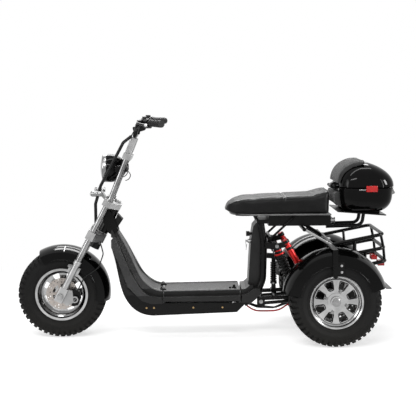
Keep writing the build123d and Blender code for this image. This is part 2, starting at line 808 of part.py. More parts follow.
# Pillar: two bent tubes with a plate on top, and the plastic cover between them
pillar_route = [(944, 172), (1008, 214), (1042, 300), (1047, 490), (1032, 590)]
with BuildPart() as pillar_tubes:
    for way in (1, -1):
        add(tube([spot(u, way * pillar_side, z) for u, z in pillar_route], pillar_tube_r, 110))
    add(slab([(1008, 592), (1008, 612), (1068, 612), (1068, 592)], -pillar_side - 17, pillar_side + 17))
    # seat hinge ears
    for y in (-60, 60):
        add(slab([(1010, 595), (997, 621), (1000, 630), (1006, 630), (1024, 608), (1024, 595)], y - 4, y + 4))
    # swingarm bars, pivot and axle plates
    for way in (1, -1):
        inner, outer = sorted((way * 88, way * 112))
        add(slab([(1010, 170), (1010, 205), (1050, 215), (1050, 168), (1030, 160)], inner, outer))
        add(tube([spot(1040, way * 100, 204), spot(1340, way * 100, 214)], 11))
        add(tube([spot(1040, way * 100, 178), spot(1340, way * 100, 200)], 9))
        foot_line = [(1330, 190), (1330, 226), (1370, 262), (1404, 262), (1420, 228), (1404, 196)]
        add(slab(foot_line, inner, outer))
        # lower shock bracket
        add(slab([(1166, 200), (1172, 292), (1196, 292), (1206, 210)], inner, outer))
        # upper shock bracket on the cross tube
        bracket = [(1050, 470), (1050, 505), (1112, 498), (1120, 478), (1104, 466)]
        add(slab(bracket, *sorted((way * 108, way * 113))))
        add(slab(bracket, *sorted((way * 147, way * 152))))
        add(tube([spot(1200, way * 106, 627), spot(1080, way * 106, 516)], 6))
        add(slab([(1054, 484), (1076, 526), (1088, 514), (1068, 478)], *sorted((way * 98, way * 104))))
        # bolts of the shocks
        add(hinge_pin(shock_eye, way * shock_side, 22, shock_bolt_r))
        add(hinge_pin(shock_lower_eye, way * (shock_side - 5), 20, shock_bolt_r))
    add(tube([spot(1062, -155, 488), spot(1062, 155, 488)], 14))
    add(tube([spot(1030, -112, 188), spot(1030, 112, 188)], 12))
    add(tube([spot(1190, -112, 225), spot(1190, 112, 225)], 12))
    add(tube([spot(1080, -106, 518), spot(1080, 106, 518)], 7))
    # lugs of the middle damper
    add(slab([(1062, 400), (1062, 424), (1108, 420), (1112, 404), (1104, 396)], -16, -11))
    add(slab([(1062, 400), (1062, 424), (1108, 420), (1112, 404), (1104, 396)], 11, 16))
    add(slab([(1062, 380), (1050, 380), (1050, 500), (1062, 500)], -16, 16))
    add(tube([spot(1050, -80, 395), spot(1050, 80, 395)], 9))
    add(slab([(1092, 214), (1094, 262), (1114, 262), (1118, 214)], -16, -11))
    add(slab([(1092, 214), (1094, 262), (1114, 262), (1118, 214)], 11, 16))
    add(tube([spot(1104, -112, 212), spot(1104, 112, 212)], 10))
    add(belly.part, mode=Mode.SUBTRACT)
    add(rear_axle.part, mode=Mode.SUBTRACT)
    for y in (-70, 70):
        add(hinge_pin(seat_hinge, y, 14))
keep(pillar_tubes.part, "frame_tubes")

with BuildPart() as pillar_cover:
    add(slab([(930, 188 + fit_gap), (930, 226), (952, 232), (972, 246), (1000, 262), (1024, 262), (1024, 230),
              (982, 188 + fit_gap)], -deck_half + 12, deck_half - 12))
    pillar_foot = [(930, 200), (930, 253), (952, 256), (970, 272), (990, 272), (990, 200)]
    add(slab(pillar_foot, -crown_half, crown_half))
    add(slab([(966, 258), (980, 495), (993, 575), (1007, 591), (1030, 591), (1040, 400), (1030, 240)],
             -pillar_side + 17.5, pillar_side - 17.5))
    add(pillar_tubes.part, mode=Mode.SUBTRACT)
keep(pillar_cover.part, "pillar_cover")

# Under-seat tray, open on top, with its cross tube and lock plate
with BuildPart() as tray:
    add(slab([(tray_u[0], tray_z[0]), (tray_u[0], tray_z[1]), (tray_u[1], tray_z[1]), (tray_u[1], tray_z[0])],
             -tray_half, tray_half))
    tray_hollow = [(tray_u[0] + sheet, tray_z[0] + sheet), (tray_u[0] + sheet, 700),
                   (tray_u[1] - sheet, 700), (tray_u[1] - sheet, tray_z[0] + sheet)]
    add(slab(tray_hollow, -tray_half + sheet, tray_half - sheet), mode=Mode.SUBTRACT)
    add(tube([spot(1242, -rack_side, 573), spot(1242, rack_side, 573)], 9.5))
    add(pillar_tubes.part, mode=Mode.SUBTRACT)
keep(tray.part, "seat_tray")

# Seat: a thin pan with hinge tongues and the cushion on it
seat_line = [(847, 665), (868, 694), (898, 712), (938, 724), (1040, 729), (1151, 735), (1290, 741),
             (1340, 753), (1362, 757), (1384, 752), (seat_rear_u, 741), (seat_rear_u, 642), (884, 642),
             (856, 654)]
with BuildPart() as seat_plan:
    with BuildSketch(Plane.XY.offset(600)):
        with BuildLine():
            Spline((px(1010), seat_half), (px(930), 126), (px(868), 84), (px(846), 0), (px(868), -84),
                   (px(930), -126), (px(1010), -seat_half))
            Polyline((px(1010), -seat_half), (px(1400), -seat_half), (px(1400), seat_half),
                     (px(1010), seat_half))
        make_face()
    extrude(amount=200)
with BuildPart() as seat:
    add(slab(seat_line, -seat_half, seat_half))
    top_edges = seat.edges().filter_by(Axis.Y, reverse=True).filter_by_position(Axis.Z, 660, 800)
    chamfer(top_edges, length=16)
    add(seat_plan.part, mode=Mode.INTERSECT)
keep(seat.part, "seat")

with BuildPart() as seat_pan:
    plate_line = [(900, 636), (900, 641.5), (seat_rear_u, 641.5), (seat_rear_u, 636)]
    add(slab(plate_line, -seat_half + 12, seat_half - 12))
    add(seat_plan.part, mode=Mode.INTERSECT)
    for y in (-60, 60):
        near, far = sorted((y + (6 if y > 0 else -6), y + (14 if y > 0 else -14)))
        add(slab([(1020, 637), (1010, 619), (996, 619), (988, 637)], near, far))
        with BuildSketch(Plane.XZ.offset(-y)):
            with Locations((px(seat_hinge[0]), seat_hinge[1])):
                Circle(hinge_pin_r + running_gap)
        extrude(amount=20, both=True, mode=Mode.SUBTRACT)
keep(seat_pan.part, "seat_pan")

# Shocks: eyes on their bolts, a damper body between two collars and an open coil around it
coil_r = 24.0
coil_wire_r = 3.6
coil_turns = 7
collar_t = 6.0
coil_span = (54.0, 176.0)
shock_top = spot(shock_eye[0], shock_side, shock_eye[1])
shock_foot = spot(shock_lower_eye[0], shock_side, shock_lower_eye[1])
shock_way = (shock_foot - shock_top).normalized()
shock_length = (shock_foot - shock_top).length
shock_plane = Plane(origin=shock_top, x_dir=Vector(0, 1, 0), z_dir=shock_way)
with BuildPart() as shock:
    for start, end, radius in (
        (0, shock_length, 9), (10, coil_span[0], 17), (coil_span[0] - collar_t, coil_span[0], coil_r + 5),
        (coil_span[0], 120, 15), (coil_span[1], coil_span[1] + collar_t, coil_r + 4),
        (coil_span[1], shock_length, 13),
    ):
        with BuildSketch(shock_plane.offset(start)):
            Circle(radius)
        extrude(amount=end - start)
    for eye, radius in ((shock_eye, 14), (shock_lower_eye, 13)):
        with BuildSketch(Plane.XZ.offset(-shock_side)):
            with Locations((px(eye[0]), eye[1])):
                Circle(radius)
        extrude(amount=16.5, both=True)
    for eye in (shock_eye, shock_lower_eye):
        with BuildSketch(Plane.XZ.offset(-shock_side)):
            with Locations((px(eye[0]), eye[1])):
                Circle(shock_bolt_r + fit_gap)
        extrude(amount=30, both=True, mode=Mode.SUBTRACT)
    add(pillar_tubes.part, mode=Mode.SUBTRACT)
coil_height = coil_span[1] - coil_span[0] - 2 * (coil_wire_r + fit_gap)
coil_pitch = coil_height / coil_turns
with BuildPart() as coil:
    with BuildLine():
        turns = Helix(pitch=coil_pitch, height=coil_height, radius=coil_r)
    with BuildSketch(Plane(origin=turns @ 0, z_dir=turns % 0)):
        Circle(coil_wire_r)
    sweep(path=turns, is_frenet=True)
coil_place = shock_plane.offset(coil_span[0] + coil_wire_r + fit_gap)
left_coil = coil.part.moved(coil_place.location)
with BuildPart() as shocks:
    add(shock.part)
    mirror(about=Plane.XZ)
    with BuildSketch(Plane.XY.offset(242)):
        with Locations((px(1104), 0)):
            Circle(10.9)
    extrude(amount=166)
    for turn in range(9):
        with BuildSketch(Plane.XY.offset(272 + 12 * turn)):
            with Locations((px(1104), 0)):
                Circle(17)
        extrude(amount=7)
shock_solids = shocks.part.solids() + left_coil.solids() + mirror(left_coil, about=Plane.XZ).solids()
keep(Compound(children=shock_solids), "shock_absorbers")

# Red anodised gas reservoirs beside the shocks, each on a short bracket
tank_top, tank_foot = spot(1154, 132, 506), spot(1220, 132, 384)
tank_way = (tank_foot - tank_top).normalized()
tank_plane = Plane(origin=tank_top, x_dir=Vector(0, 1, 0), z_dir=tank_way)
tank_length = (tank_foot - tank_top).length
tank_r = 16.5
with BuildPart() as tank:
    for start, end, radius in ((0, 14, tank_r), (14, 22, tank_r - 4), (22, 34, tank_r), (34, 40, tank_r - 4),
                               (40, tank_length, tank_r)):
        with BuildSketch(tank_plane.offset(start)):
            Circle(radius)
        extrude(amount=end - start)
    chamfer(tank.edges().group_by(Axis.Z)[0], 3)
    add(slab([(1112, 478), (1120, 492), (1150, 500), (1158, 488), (1128, 470)], 122, 142))
    add(shock.part, mode=Mode.SUBTRACT)
    add(left_coil, mode=Mode.SUBTRACT)
    add(pillar_tubes.part, mode=Mode.SUBTRACT)
with BuildPart() as tanks:
    add(tank.part)
    mirror(about=Plane.XZ)
keep(tanks.part, "shock_reservoirs")

# Rear fenders with their outer stays
rear_fender_half = 100.0
with BuildPart() as hoop:
    add(fender_shell(fender_r, rear_fender_half, 24, 78))
    add(arc_wedge(10, 163, 420, 130), mode=Mode.INTERSECT)
    with Locations((-252, 0, 74)):
        Box(26, 2 * rear_fender_half, 4)
with BuildPart() as rear_fenders:
    add(hoop.part.moved(rear_left))
    mirror(about=Plane.XZ)
keep(rear_fenders.part, "rear_fenders")

# Rack: three hoops, struts, stays over the fenders and the frame of the top box
rack_bend = 26.0
upper_rail = [(1384, 494), (1642, 545)]
middle_rail = [(1500, 441), (1657, 471)]
lower_rail = [(1560, 382), (1665, 402)]
with BuildPart() as rack:
    for (front, rear), half in ((upper_rail, 183), (middle_rail, 150), (lower_rail, 150)):
        ends = [spot(front[0], half, front[1]), spot(rear[0], half, rear[1]),
                spot(rear[0], -half, rear[1]), spot(front[0], -half, front[1])]
        add(tube(ends, rack_tube_r, rack_bend))
    add(tube([spot(1384, -183, 494), spot(1384, 183, 494)], rack_tube_r))
    for way in (1, -1):
        add(tube([spot(1640, way * 130, 545), spot(1656, way * 130, 471), spot(1663, way * 130, 402)], 7, 20))
        add(tube([spot(1498, way * 176, 516), spot(1502, way * 150, 441)], 7))
        add(tube([spot(1560, way * 150, 382), spot(1560, way * 150, 453)], 7))
        near, far = sorted((way * 188, way * 194))
        add(slab([(1244, 568), (1252, 584), (1394, 492), (1380, 478)], near, far))
        near, far = sorted((way * 372, way * 377))
        add(slab([(1360, 494), (1364, 360), (1374, 350), (1386, 360), (1386, 494)], near, far))
        near, far = sorted((way * 183, way * 377))
        add(slab([(1360, 492), (1360, 497), (1386, 497), (1386, 492)], near, far))
        # box frame tubes from the tray to the base plate
        add(tube([spot(1370, way * 60, 571.2), spot(1556, way * 60, 576), spot(1566, way * 60, 648)], 9, 34))
        # stand of the rack on the axle plates
        add(tube([spot(1392, way * 100, 258), spot(1392, way * 100, 494)], 8))
    add(slab([(1417, 655), (1417, 661), (1664, 641), (1664, 635)], -150, 150))
    add(tray.part, mode=Mode.SUBTRACT)
    add(rear_axle.part, mode=Mode.SUBTRACT)
    add(pillar_tubes.part, mode=Mode.SUBTRACT)
    add(rear_fenders.part, mode=Mode.SUBTRACT)
keep(rack.part, "rear_rack")

# Tail lights on the lower rail and under the upper one
with BuildPart() as tail_lights:
    for way in (1, -1):
        with BuildSketch(Plane.YZ.offset(px(1664))):
            with Locations((way * 95, 385)):
                RectangleRounded(60, 26, 8)
        extrude(amount=30)
    add(rack.part, mode=Mode.SUBTRACT)
keep(tail_lights.part, "tail_lights")

# Top box: a bowl under the seam, a domed lid hinged at the front of the seam
bowl_sections = ((656.0, 1468.0, 1640.0, 138.0, 40.0), (664.0, 1451.0, 1660.0, 158.0, 55.0),
                 (685.0, 1438.0, 1683.0, 177.0, 70.0), (720.0, 1431.0, 1698.0, 187.0, 78.0),
                 (777.0, 1428.0, 1706.0, 190.0, 80.0))
lid_sections = ((783.0, 1428.0, 1706.0, 190.0, 80.0), (815.0, 1431.0, 1701.0, 187.0, 82.0),
                (845.0, 1441.0, 1682.0, 177.0, 80.0), (870.0, 1460.0, 1652.0, 158.0, 70.0),
                (889.0, 1488.0, 1616.0, 130.0, 52.0), (901.0, 1522.0, 1580.0, 94.0, 24.0))


def lofted(sections, inset=0.0):
    """A smooth loft through level rounded rectangles given as (z, front u, rear u, half width, corner)."""
    with BuildPart() as body:
        for z, front, rear, half, corner in sections:
            with BuildSketch(Plane.XY.offset(z)):
                with Locations((px((front + rear) / 2), 0)):
                    RectangleRounded(rear - front - 2 * inset, 2 * half - 2 * inset, corner - inset)
        loft()
    return body.part


with BuildPart() as box_base:
    add(lofted(bowl_sections))
    inner = [(z + (box_wall if z < 760 else 1), *rest) for z, *rest in bowl_sections]
    add(lofted(inner, box_wall), mode=Mode.SUBTRACT)
    # hinge block, latch block and mount pad
    for y in (-31, 31):
        add(slab([(1396, 768), (1392, 779), (1398, 787), (1406, 784), (1412, 776), (1430, 777), (1430, 762)],
                 y - 5, y + 5))
    add(slab([(1414, 764), (1414, 772), (1430, 774), (1430, 762)], -36, 36))
    add(hinge_pin(box_hinge, 0, 31))
    add(slab([(1697, 742), (1701, 764), (1724, 758), (rear_reach, 738), (1722, 730)], -16, 16))
    add(slab([(1470, 657), (1470, 655), (1640, 642), (1640, 657)], -100, 100))
    add(rack.part, mode=Mode.SUBTRACT)
keep(box_base.part, "box_base")

with BuildPart() as box_lid:
    add(lofted(lid_sections))
    inner = [(z - (box_wall if z > 800 else 1), *rest) for z, *rest in lid_sections]
    add(lofted(inner, box_wall), mode=Mode.SUBTRACT)
    add(slab([(1398, 773), (1392, 778), (1394, 787), (1414, 798), (1436, 794), (1436, 783), (1406, 782)],
             -20, 20))
    with BuildSketch(Plane.XZ):
        with Locations((px(box_hinge[0]), box_hinge[1])):
            Circle(hinge_pin_r + running_gap)
    extrude(amount=24, both=True, mode=Mode.SUBTRACT)
    add(lofted(inner, box_wall), mode=Mode.SUBTRACT)
    add(slab([(1700, 783), (1700, 796), (1718, 790), (1718, 783)], -16, 16))
keep(box_lid.part, "box_lid")

# Backrest pads: one on the front of the bowl, one that follows the lid up to its top
pad_t = 14.0
pad_half = 136.0
with BuildPart() as lower_pad:
    add(slab([(1410, 684), (1406, 700), (1404, 756), (1436, 758), (1444, 700), (1450, 684)], -134, 134))
    add(lofted(bowl_sections), mode=Mode.SUBTRACT)
keep(lower_pad.part, "backrest_lower")
lid_low, lid_high = lid_sections[0][0], lid_sections[-1][0]
pad_sections = [(z + pad_t * (z - lid_low) / (lid_high - lid_low), *rest) for z, *rest in lid_sections]
with BuildPart() as upper_pad:
    add(lofted(pad_sections, -pad_t))
    add(slab([(1400, 798), (1400, 920), (1556, 920), (1556, 896), (1490, 880), (1456, 846), (1442, 798)],
             -pad_half, pad_half), mode=Mode.INTERSECT)
    add(lofted(lid_sections), mode=Mode.SUBTRACT)
keep(upper_pad.part, "backrest_upper")

# Motor cables sagging from the deck to the axle
with BuildPart() as motor_cables:
    add(tube([spot(930, 22, 178), spot(1010, 22, 150), spot(1110, 24, 138), spot(1170, 26, 160),
              spot(1326, 30, 215)], 4.5, 40))
    add(tube([spot(930, 38, 178), spot(1016, 38, 144), spot(1100, 38, 140), spot(1164, 38, 166),
              spot(1326, 42, 220)], 4.5, 40))
    add(belly.part, mode=Mode.SUBTRACT)
    add(rear_axle.part, mode=Mode.SUBTRACT)
    add(pillar_tubes.part, mode=Mode.SUBTRACT)
keep(motor_cables.part, "motor_cables")

steer = fork.from_local_coords(Vector(-clamp_offset, 0, 446))
print("steering pos", steer, "axis", fork.z_dir)
print("mirror hole", mirror_hole, "axis", bar_plane.y_dir)
print("front axle x", front_axle_x)
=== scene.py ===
# %% [markdown]
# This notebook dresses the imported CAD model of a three-wheeled electric scooter. The frame brings in every
# solid at its real place in metres: +X is forward, +Y the rider's left and +Z up. What the solids lack is
# added here: finishes, the stuffed seat and pads, thin wires, bolts, locks, lenses and stitches.

import json
import math

import bmesh
import bpy
from mathutils import Matrix, Vector
from mathutils.bvhtree import BVHTree


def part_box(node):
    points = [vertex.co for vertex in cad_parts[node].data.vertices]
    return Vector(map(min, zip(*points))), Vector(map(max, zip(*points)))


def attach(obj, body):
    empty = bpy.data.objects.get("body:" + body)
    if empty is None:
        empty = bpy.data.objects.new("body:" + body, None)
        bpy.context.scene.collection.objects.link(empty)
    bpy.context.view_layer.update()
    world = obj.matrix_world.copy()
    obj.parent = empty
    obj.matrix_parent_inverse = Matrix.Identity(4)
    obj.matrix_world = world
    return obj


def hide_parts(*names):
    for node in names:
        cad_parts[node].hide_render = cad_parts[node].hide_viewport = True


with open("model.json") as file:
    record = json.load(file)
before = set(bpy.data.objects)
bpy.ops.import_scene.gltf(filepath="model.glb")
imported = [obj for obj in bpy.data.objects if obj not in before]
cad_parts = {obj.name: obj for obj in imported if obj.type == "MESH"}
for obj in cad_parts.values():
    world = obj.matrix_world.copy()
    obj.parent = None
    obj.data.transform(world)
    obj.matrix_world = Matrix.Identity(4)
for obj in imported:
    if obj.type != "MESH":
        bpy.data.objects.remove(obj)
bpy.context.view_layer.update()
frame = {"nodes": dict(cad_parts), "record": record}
nodes = frame["nodes"]

# %% [markdown]
# Places are read from the side as a distance behind the front axle and a height, which is how such a vehicle
# is measured on a workshop floor. One small function turns them into the shared frame, and a few driving
# sizes are named once, so that every bolt and ring below is worked out from them.

# %% Places and named sizes, in millimetres
FRONT_AXLE = 753.25
REAR_AXLE = 1387.0
AXLE_Z = 228.5
TRACK_HALF = 268.0
BELLY_HALF = 130.0
HUB_FACE = 56.0
HUB_CAP = 13.0


def place(u, v, z):
    """A point u behind the front axle, v to the left and z up, in metres."""
    return Vector(((FRONT_AXLE - u) / 1000, v / 1000, z / 1000))


LEFT, UP = Vector((0, 1, 0)), Vector((0, 0, 1))
AHEAD, BACK = Vector((1, 0, 0)), Vector((-1, 0, 0))
print("front axle at", [round(c, 3) for c in place(0, 0, AXLE_Z)])

# %% [markdown]
# The camera comes before any piece, because it decides how much detail each piece deserves. A product picture
# like this one is taken from far away with a long lens, a little above the seat and square to the side, so
# the near and far wheels are almost the same size. The numbers give the lens and the small tilts.

# %% Camera
FOCAL_PX = 970.0
PICTURE_PX = 416.0
SENSOR_MM = 36.0
CAMERA_AT = (658, 5029, 1237)
CAMERA_ANGLES = (6.5, 1.17, -0.28)
pitch, yaw, roll = (math.radians(angle) for angle in CAMERA_ANGLES)
look = Vector((-math.sin(yaw) * math.cos(pitch), -math.cos(yaw) * math.cos(pitch), -math.sin(pitch)))
level = Vector((-math.cos(yaw), math.sin(yaw), 0))
raised = level.cross(look)
camera_right = level * math.cos(roll) + raised * math.sin(roll)
camera_up = raised * math.cos(roll) - level * math.sin(roll)
lens = bpy.data.cameras.new("camera")
lens.sensor_width = SENSOR_MM
lens.lens = FOCAL_PX / PICTURE_PX * SENSOR_MM
camera = bpy.data.objects.new("camera", lens)
bpy.context.scene.collection.objects.link(camera)
facing = Matrix((camera_right, camera_up, -look)).transposed().to_4x4()
camera.matrix_world = Matrix.Translation(place(*CAMERA_AT)) @ facing
bpy.context.scene.camera = camera
bpy.context.scene.view_settings.view_transform = "Standard"
print("lens", round(lens.lens, 1), "mm")

# %% [markdown]
# Many finishes share a few effects: a fine moulded grain, a slow change between two tones, a film of road dust
# low down, and the crossing threads of a woven cloth. Each effect is a node group with sockets of its own, so
# one recipe serves rubber, paint and plastic, and each material only sets the values.

# %% Helpers for a shader group
def new_group(name, inputs, outputs):
    """An empty node group with named sockets: f for a number, c for a colour, v for a direction."""
    group = bpy.data.node_groups.new(name, "ShaderNodeTree")
    kinds = {"f": "NodeSocketFloat", "c": "NodeSocketColor", "v": "NodeSocketVector"}
    for label, kind, value in inputs:
        group.interface.new_socket(label, in_out="INPUT", socket_type=kinds[kind]).default_value = value
    for label, kind in outputs:
        group.interface.new_socket(label, in_out="OUTPUT", socket_type=kinds[kind])
    return group, group.nodes.new("NodeGroupInput"), group.nodes.new("NodeGroupOutput")


def noise_at(group, scale_from, detail):
    """A noise texture in object coordinates, whose scale comes from a socket."""
    coords = group.nodes.new("ShaderNodeTexCoord")
    noise = group.nodes.new("ShaderNodeTexNoise")
    noise.inputs["Detail"].default_value = detail
    group.links.new(coords.outputs["Object"], noise.inputs["Vector"])
    group.links.new(scale_from, noise.inputs["Scale"])
    return noise


# %% Grain and tone groups
def make_grain():
    """Fine bumps of one size on top of slower waves of another, put out as a normal."""
    group, start, end = new_group("moulded_grain", [("Scale", "f", 400.0), ("Depth", "f", 0.2),
                                                    ("Wave Scale", "f", 20.0), ("Wave Depth", "f", 0.0)],
                                  [("Normal", "v")])
    fine = noise_at(group, start.outputs["Scale"], 4.0)
    waves = noise_at(group, start.outputs["Wave Scale"], 2.0)
    bump = group.nodes.new("ShaderNodeBump")
    bump.inputs["Distance"].default_value = 0.001
    wave_bump = group.nodes.new("ShaderNodeBump")
    wave_bump.inputs["Distance"].default_value = 0.006
    group.links.new(fine.outputs["Fac"], bump.inputs["Height"])
    group.links.new(start.outputs["Depth"], bump.inputs["Strength"])
    group.links.new(waves.outputs["Fac"], wave_bump.inputs["Height"])
    group.links.new(start.outputs["Wave Depth"], wave_bump.inputs["Strength"])
    group.links.new(wave_bump.outputs["Normal"], bump.inputs["Normal"])
    group.links.new(bump.outputs["Normal"], end.inputs["Normal"])
    return group


def make_tones():
    """A cloudy change between two colours and between two roughnesses."""
    group, start, end = new_group("two_tones", [("Scale", "f", 12.0), ("Tone A", "c", (0, 0, 0, 1)),
                                                ("Tone B", "c", (0, 0, 0, 1)), ("Rough A", "f", 0.4),
                                                ("Rough B", "f", 0.5)], [("Colour", "c"), ("Roughness", "f")])
    noise = noise_at(group, start.outputs["Scale"], 5.0)
    spread = group.nodes.new("ShaderNodeMapRange")
    spread.inputs["From Min"].default_value = 0.35
    spread.inputs["From Max"].default_value = 0.65
    mix = group.nodes.new("ShaderNodeMix")
    mix.data_type = "RGBA"
    rough = group.nodes.new("ShaderNodeMapRange")
    group.links.new(noise.outputs["Fac"], spread.inputs["Value"])
    group.links.new(spread.outputs["Result"], mix.inputs["Factor"])
    group.links.new(start.outputs["Tone A"], mix.inputs[6])
    group.links.new(start.outputs["Tone B"], mix.inputs[7])
    group.links.new(spread.outputs["Result"], rough.inputs["Value"])
    group.links.new(start.outputs["Rough A"], rough.inputs["To Min"])
    group.links.new(start.outputs["Rough B"], rough.inputs["To Max"])
    group.links.new(mix.outputs[2], end.inputs["Colour"])
    group.links.new(rough.outputs["Result"], end.inputs["Roughness"])
    return group


GRAIN, TONES = make_grain(), make_tones()
print("groups", [group.name for group in bpy.data.node_groups])


# %% Dust and weave groups
def make_dust():
    """Lays a dry dust colour over another colour, most near the ground and in patches."""
    group, start, end = new_group("road_dust", [("Colour", "c", (0, 0, 0, 1)),
                                                ("Dust", "c", (0.1, 0.09, 0.07, 1)),
                                                ("Amount", "f", 0.3), ("Height", "f", 0.4)], [("Colour", "c")])
    coords = group.nodes.new("ShaderNodeTexCoord")
    split = group.nodes.new("ShaderNodeSeparateXYZ")
    low = group.nodes.new("ShaderNodeMapRange")
    low.inputs["To Min"].default_value = 1.0
    low.inputs["To Max"].default_value = 0.0
    noise = group.nodes.new("ShaderNodeTexNoise")
    noise.inputs["Scale"].default_value = 45.0
    noise.inputs["Detail"].default_value = 6.0
    patches = group.nodes.new("ShaderNodeMath")
    patches.operation = "MULTIPLY"
    share = group.nodes.new("ShaderNodeMath")
    share.operation = "MULTIPLY"
    mix = group.nodes.new("ShaderNodeMix")
    mix.data_type = "RGBA"
    group.links.new(coords.outputs["Object"], split.inputs["Vector"])
    group.links.new(coords.outputs["Object"], noise.inputs["Vector"])
    group.links.new(split.outputs["Z"], low.inputs["Value"])
    group.links.new(start.outputs["Height"], low.inputs["From Max"])
    group.links.new(low.outputs["Result"], patches.inputs[0])
    group.links.new(noise.outputs["Fac"], patches.inputs[1])
    group.links.new(patches.outputs["Value"], share.inputs[0])
    group.links.new(start.outputs["Amount"], share.inputs[1])
    group.links.new(share.outputs["Value"], mix.inputs["Factor"])
    group.links.new(start.outputs["Colour"], mix.inputs[6])
    group.links.new(start.outputs["Dust"], mix.inputs[7])
    group.links.new(mix.outputs[2], end.inputs["Colour"])
    return group


def make_weave():
    """Two crossing sets of threads as a normal."""
    group, start, end = new_group("cloth_weave", [("Threads", "f", 260.0), ("Depth", "f", 0.5)],
                                  [("Normal", "v")])
    coords = group.nodes.new("ShaderNodeTexCoord")
    waves = []
    for direction in ("Y", "Z"):
        wave = group.nodes.new("ShaderNodeTexWave")
        wave.bands_direction = direction
        wave.inputs["Distortion"].default_value = 0.6
        group.links.new(coords.outputs["Object"], wave.inputs["Vector"])
        group.links.new(start.outputs["Threads"], wave.inputs["Scale"])
        waves.append(wave)
    crossing = group.nodes.new("ShaderNodeMath")
    crossing.operation = "MULTIPLY"
    bump = group.nodes.new("ShaderNodeBump")
    bump.inputs["Distance"].default_value = 0.0008
    group.links.new(waves[0].outputs["Fac"], crossing.inputs[0])
    group.links.new(waves[1].outputs["Fac"], crossing.inputs[1])
    group.links.new(crossing.outputs["Value"], bump.inputs["Height"])
    group.links.new(start.outputs["Depth"], bump.inputs["Strength"])
    group.links.new(bump.outputs["Normal"], end.inputs["Normal"])
    return group


DUST, WEAVE = make_dust(), make_weave()
print("groups now", len(bpy.data.node_groups))

# %% [markdown]
# A finish is a Principled shader fed by those groups. What is the same all over, such as metal, clear coat or
# how strongly a plastic shines, is set on the shader itself, and only what changes over the surface is linked.
# The blacks are kept very deep: it is the lamps that draw their shapes, as on the real paint.

# %% Helpers for one finish
def group_node(tree, group, **values):
    """A group placed in a material, with its sockets set by name."""
    node = tree.nodes.new("ShaderNodeGroup")
    node.node_tree = group
    for label, value in values.items():
        node.inputs[label.replace("_", " ")].default_value = value
    return node


def finish(name, tone_a, tone_b, rough, metal=0.0, coat=0.0, shine=0.5, cloud=14.0, grain=(600.0, 0.1),
           wave=(20.0, 0.0), dust=None, woven=False):
    """A Principled material with two tones, two roughnesses, a grain and, where asked, dust or a weave."""
    material = bpy.data.materials.new(name)
    material.use_nodes = True
    tree = material.node_tree
    shader = tree.nodes["Principled BSDF"]
    for socket, value in (("Metallic", metal), ("Coat Weight", coat), ("Coat Roughness", 0.03),
                          ("Coat IOR", 1.45), ("Specular IOR Level", shine)):
        shader.inputs[socket].default_value = value
    tones = group_node(tree, TONES, Scale=cloud, Tone_A=(*tone_a, 1), Tone_B=(*tone_b, 1), Rough_A=rough[0],
                       Rough_B=rough[1])
    colour = tones.outputs["Colour"]
    if dust:
        film = group_node(tree, DUST, Amount=dust[0], Height=dust[1])
        tree.links.new(colour, film.inputs["Colour"])
        colour = film.outputs["Colour"]
    if woven:
        bumps = group_node(tree, WEAVE, Threads=grain[0], Depth=grain[1])
        shader.inputs["Sheen Weight"].default_value = 0.2
    else:
        bumps = group_node(tree, GRAIN, Scale=grain[0], Depth=grain[1], Wave_Scale=wave[0], Wave_Depth=wave[1])
    tree.links.new(colour, shader.inputs["Base Color"])
    tree.links.new(tones.outputs["Roughness"], shader.inputs["Roughness"])
    tree.links.new(bumps.outputs["Normal"], shader.inputs["Normal"])
    return material


def grey(value):
    """A neutral tone."""
    return (value, value, value)


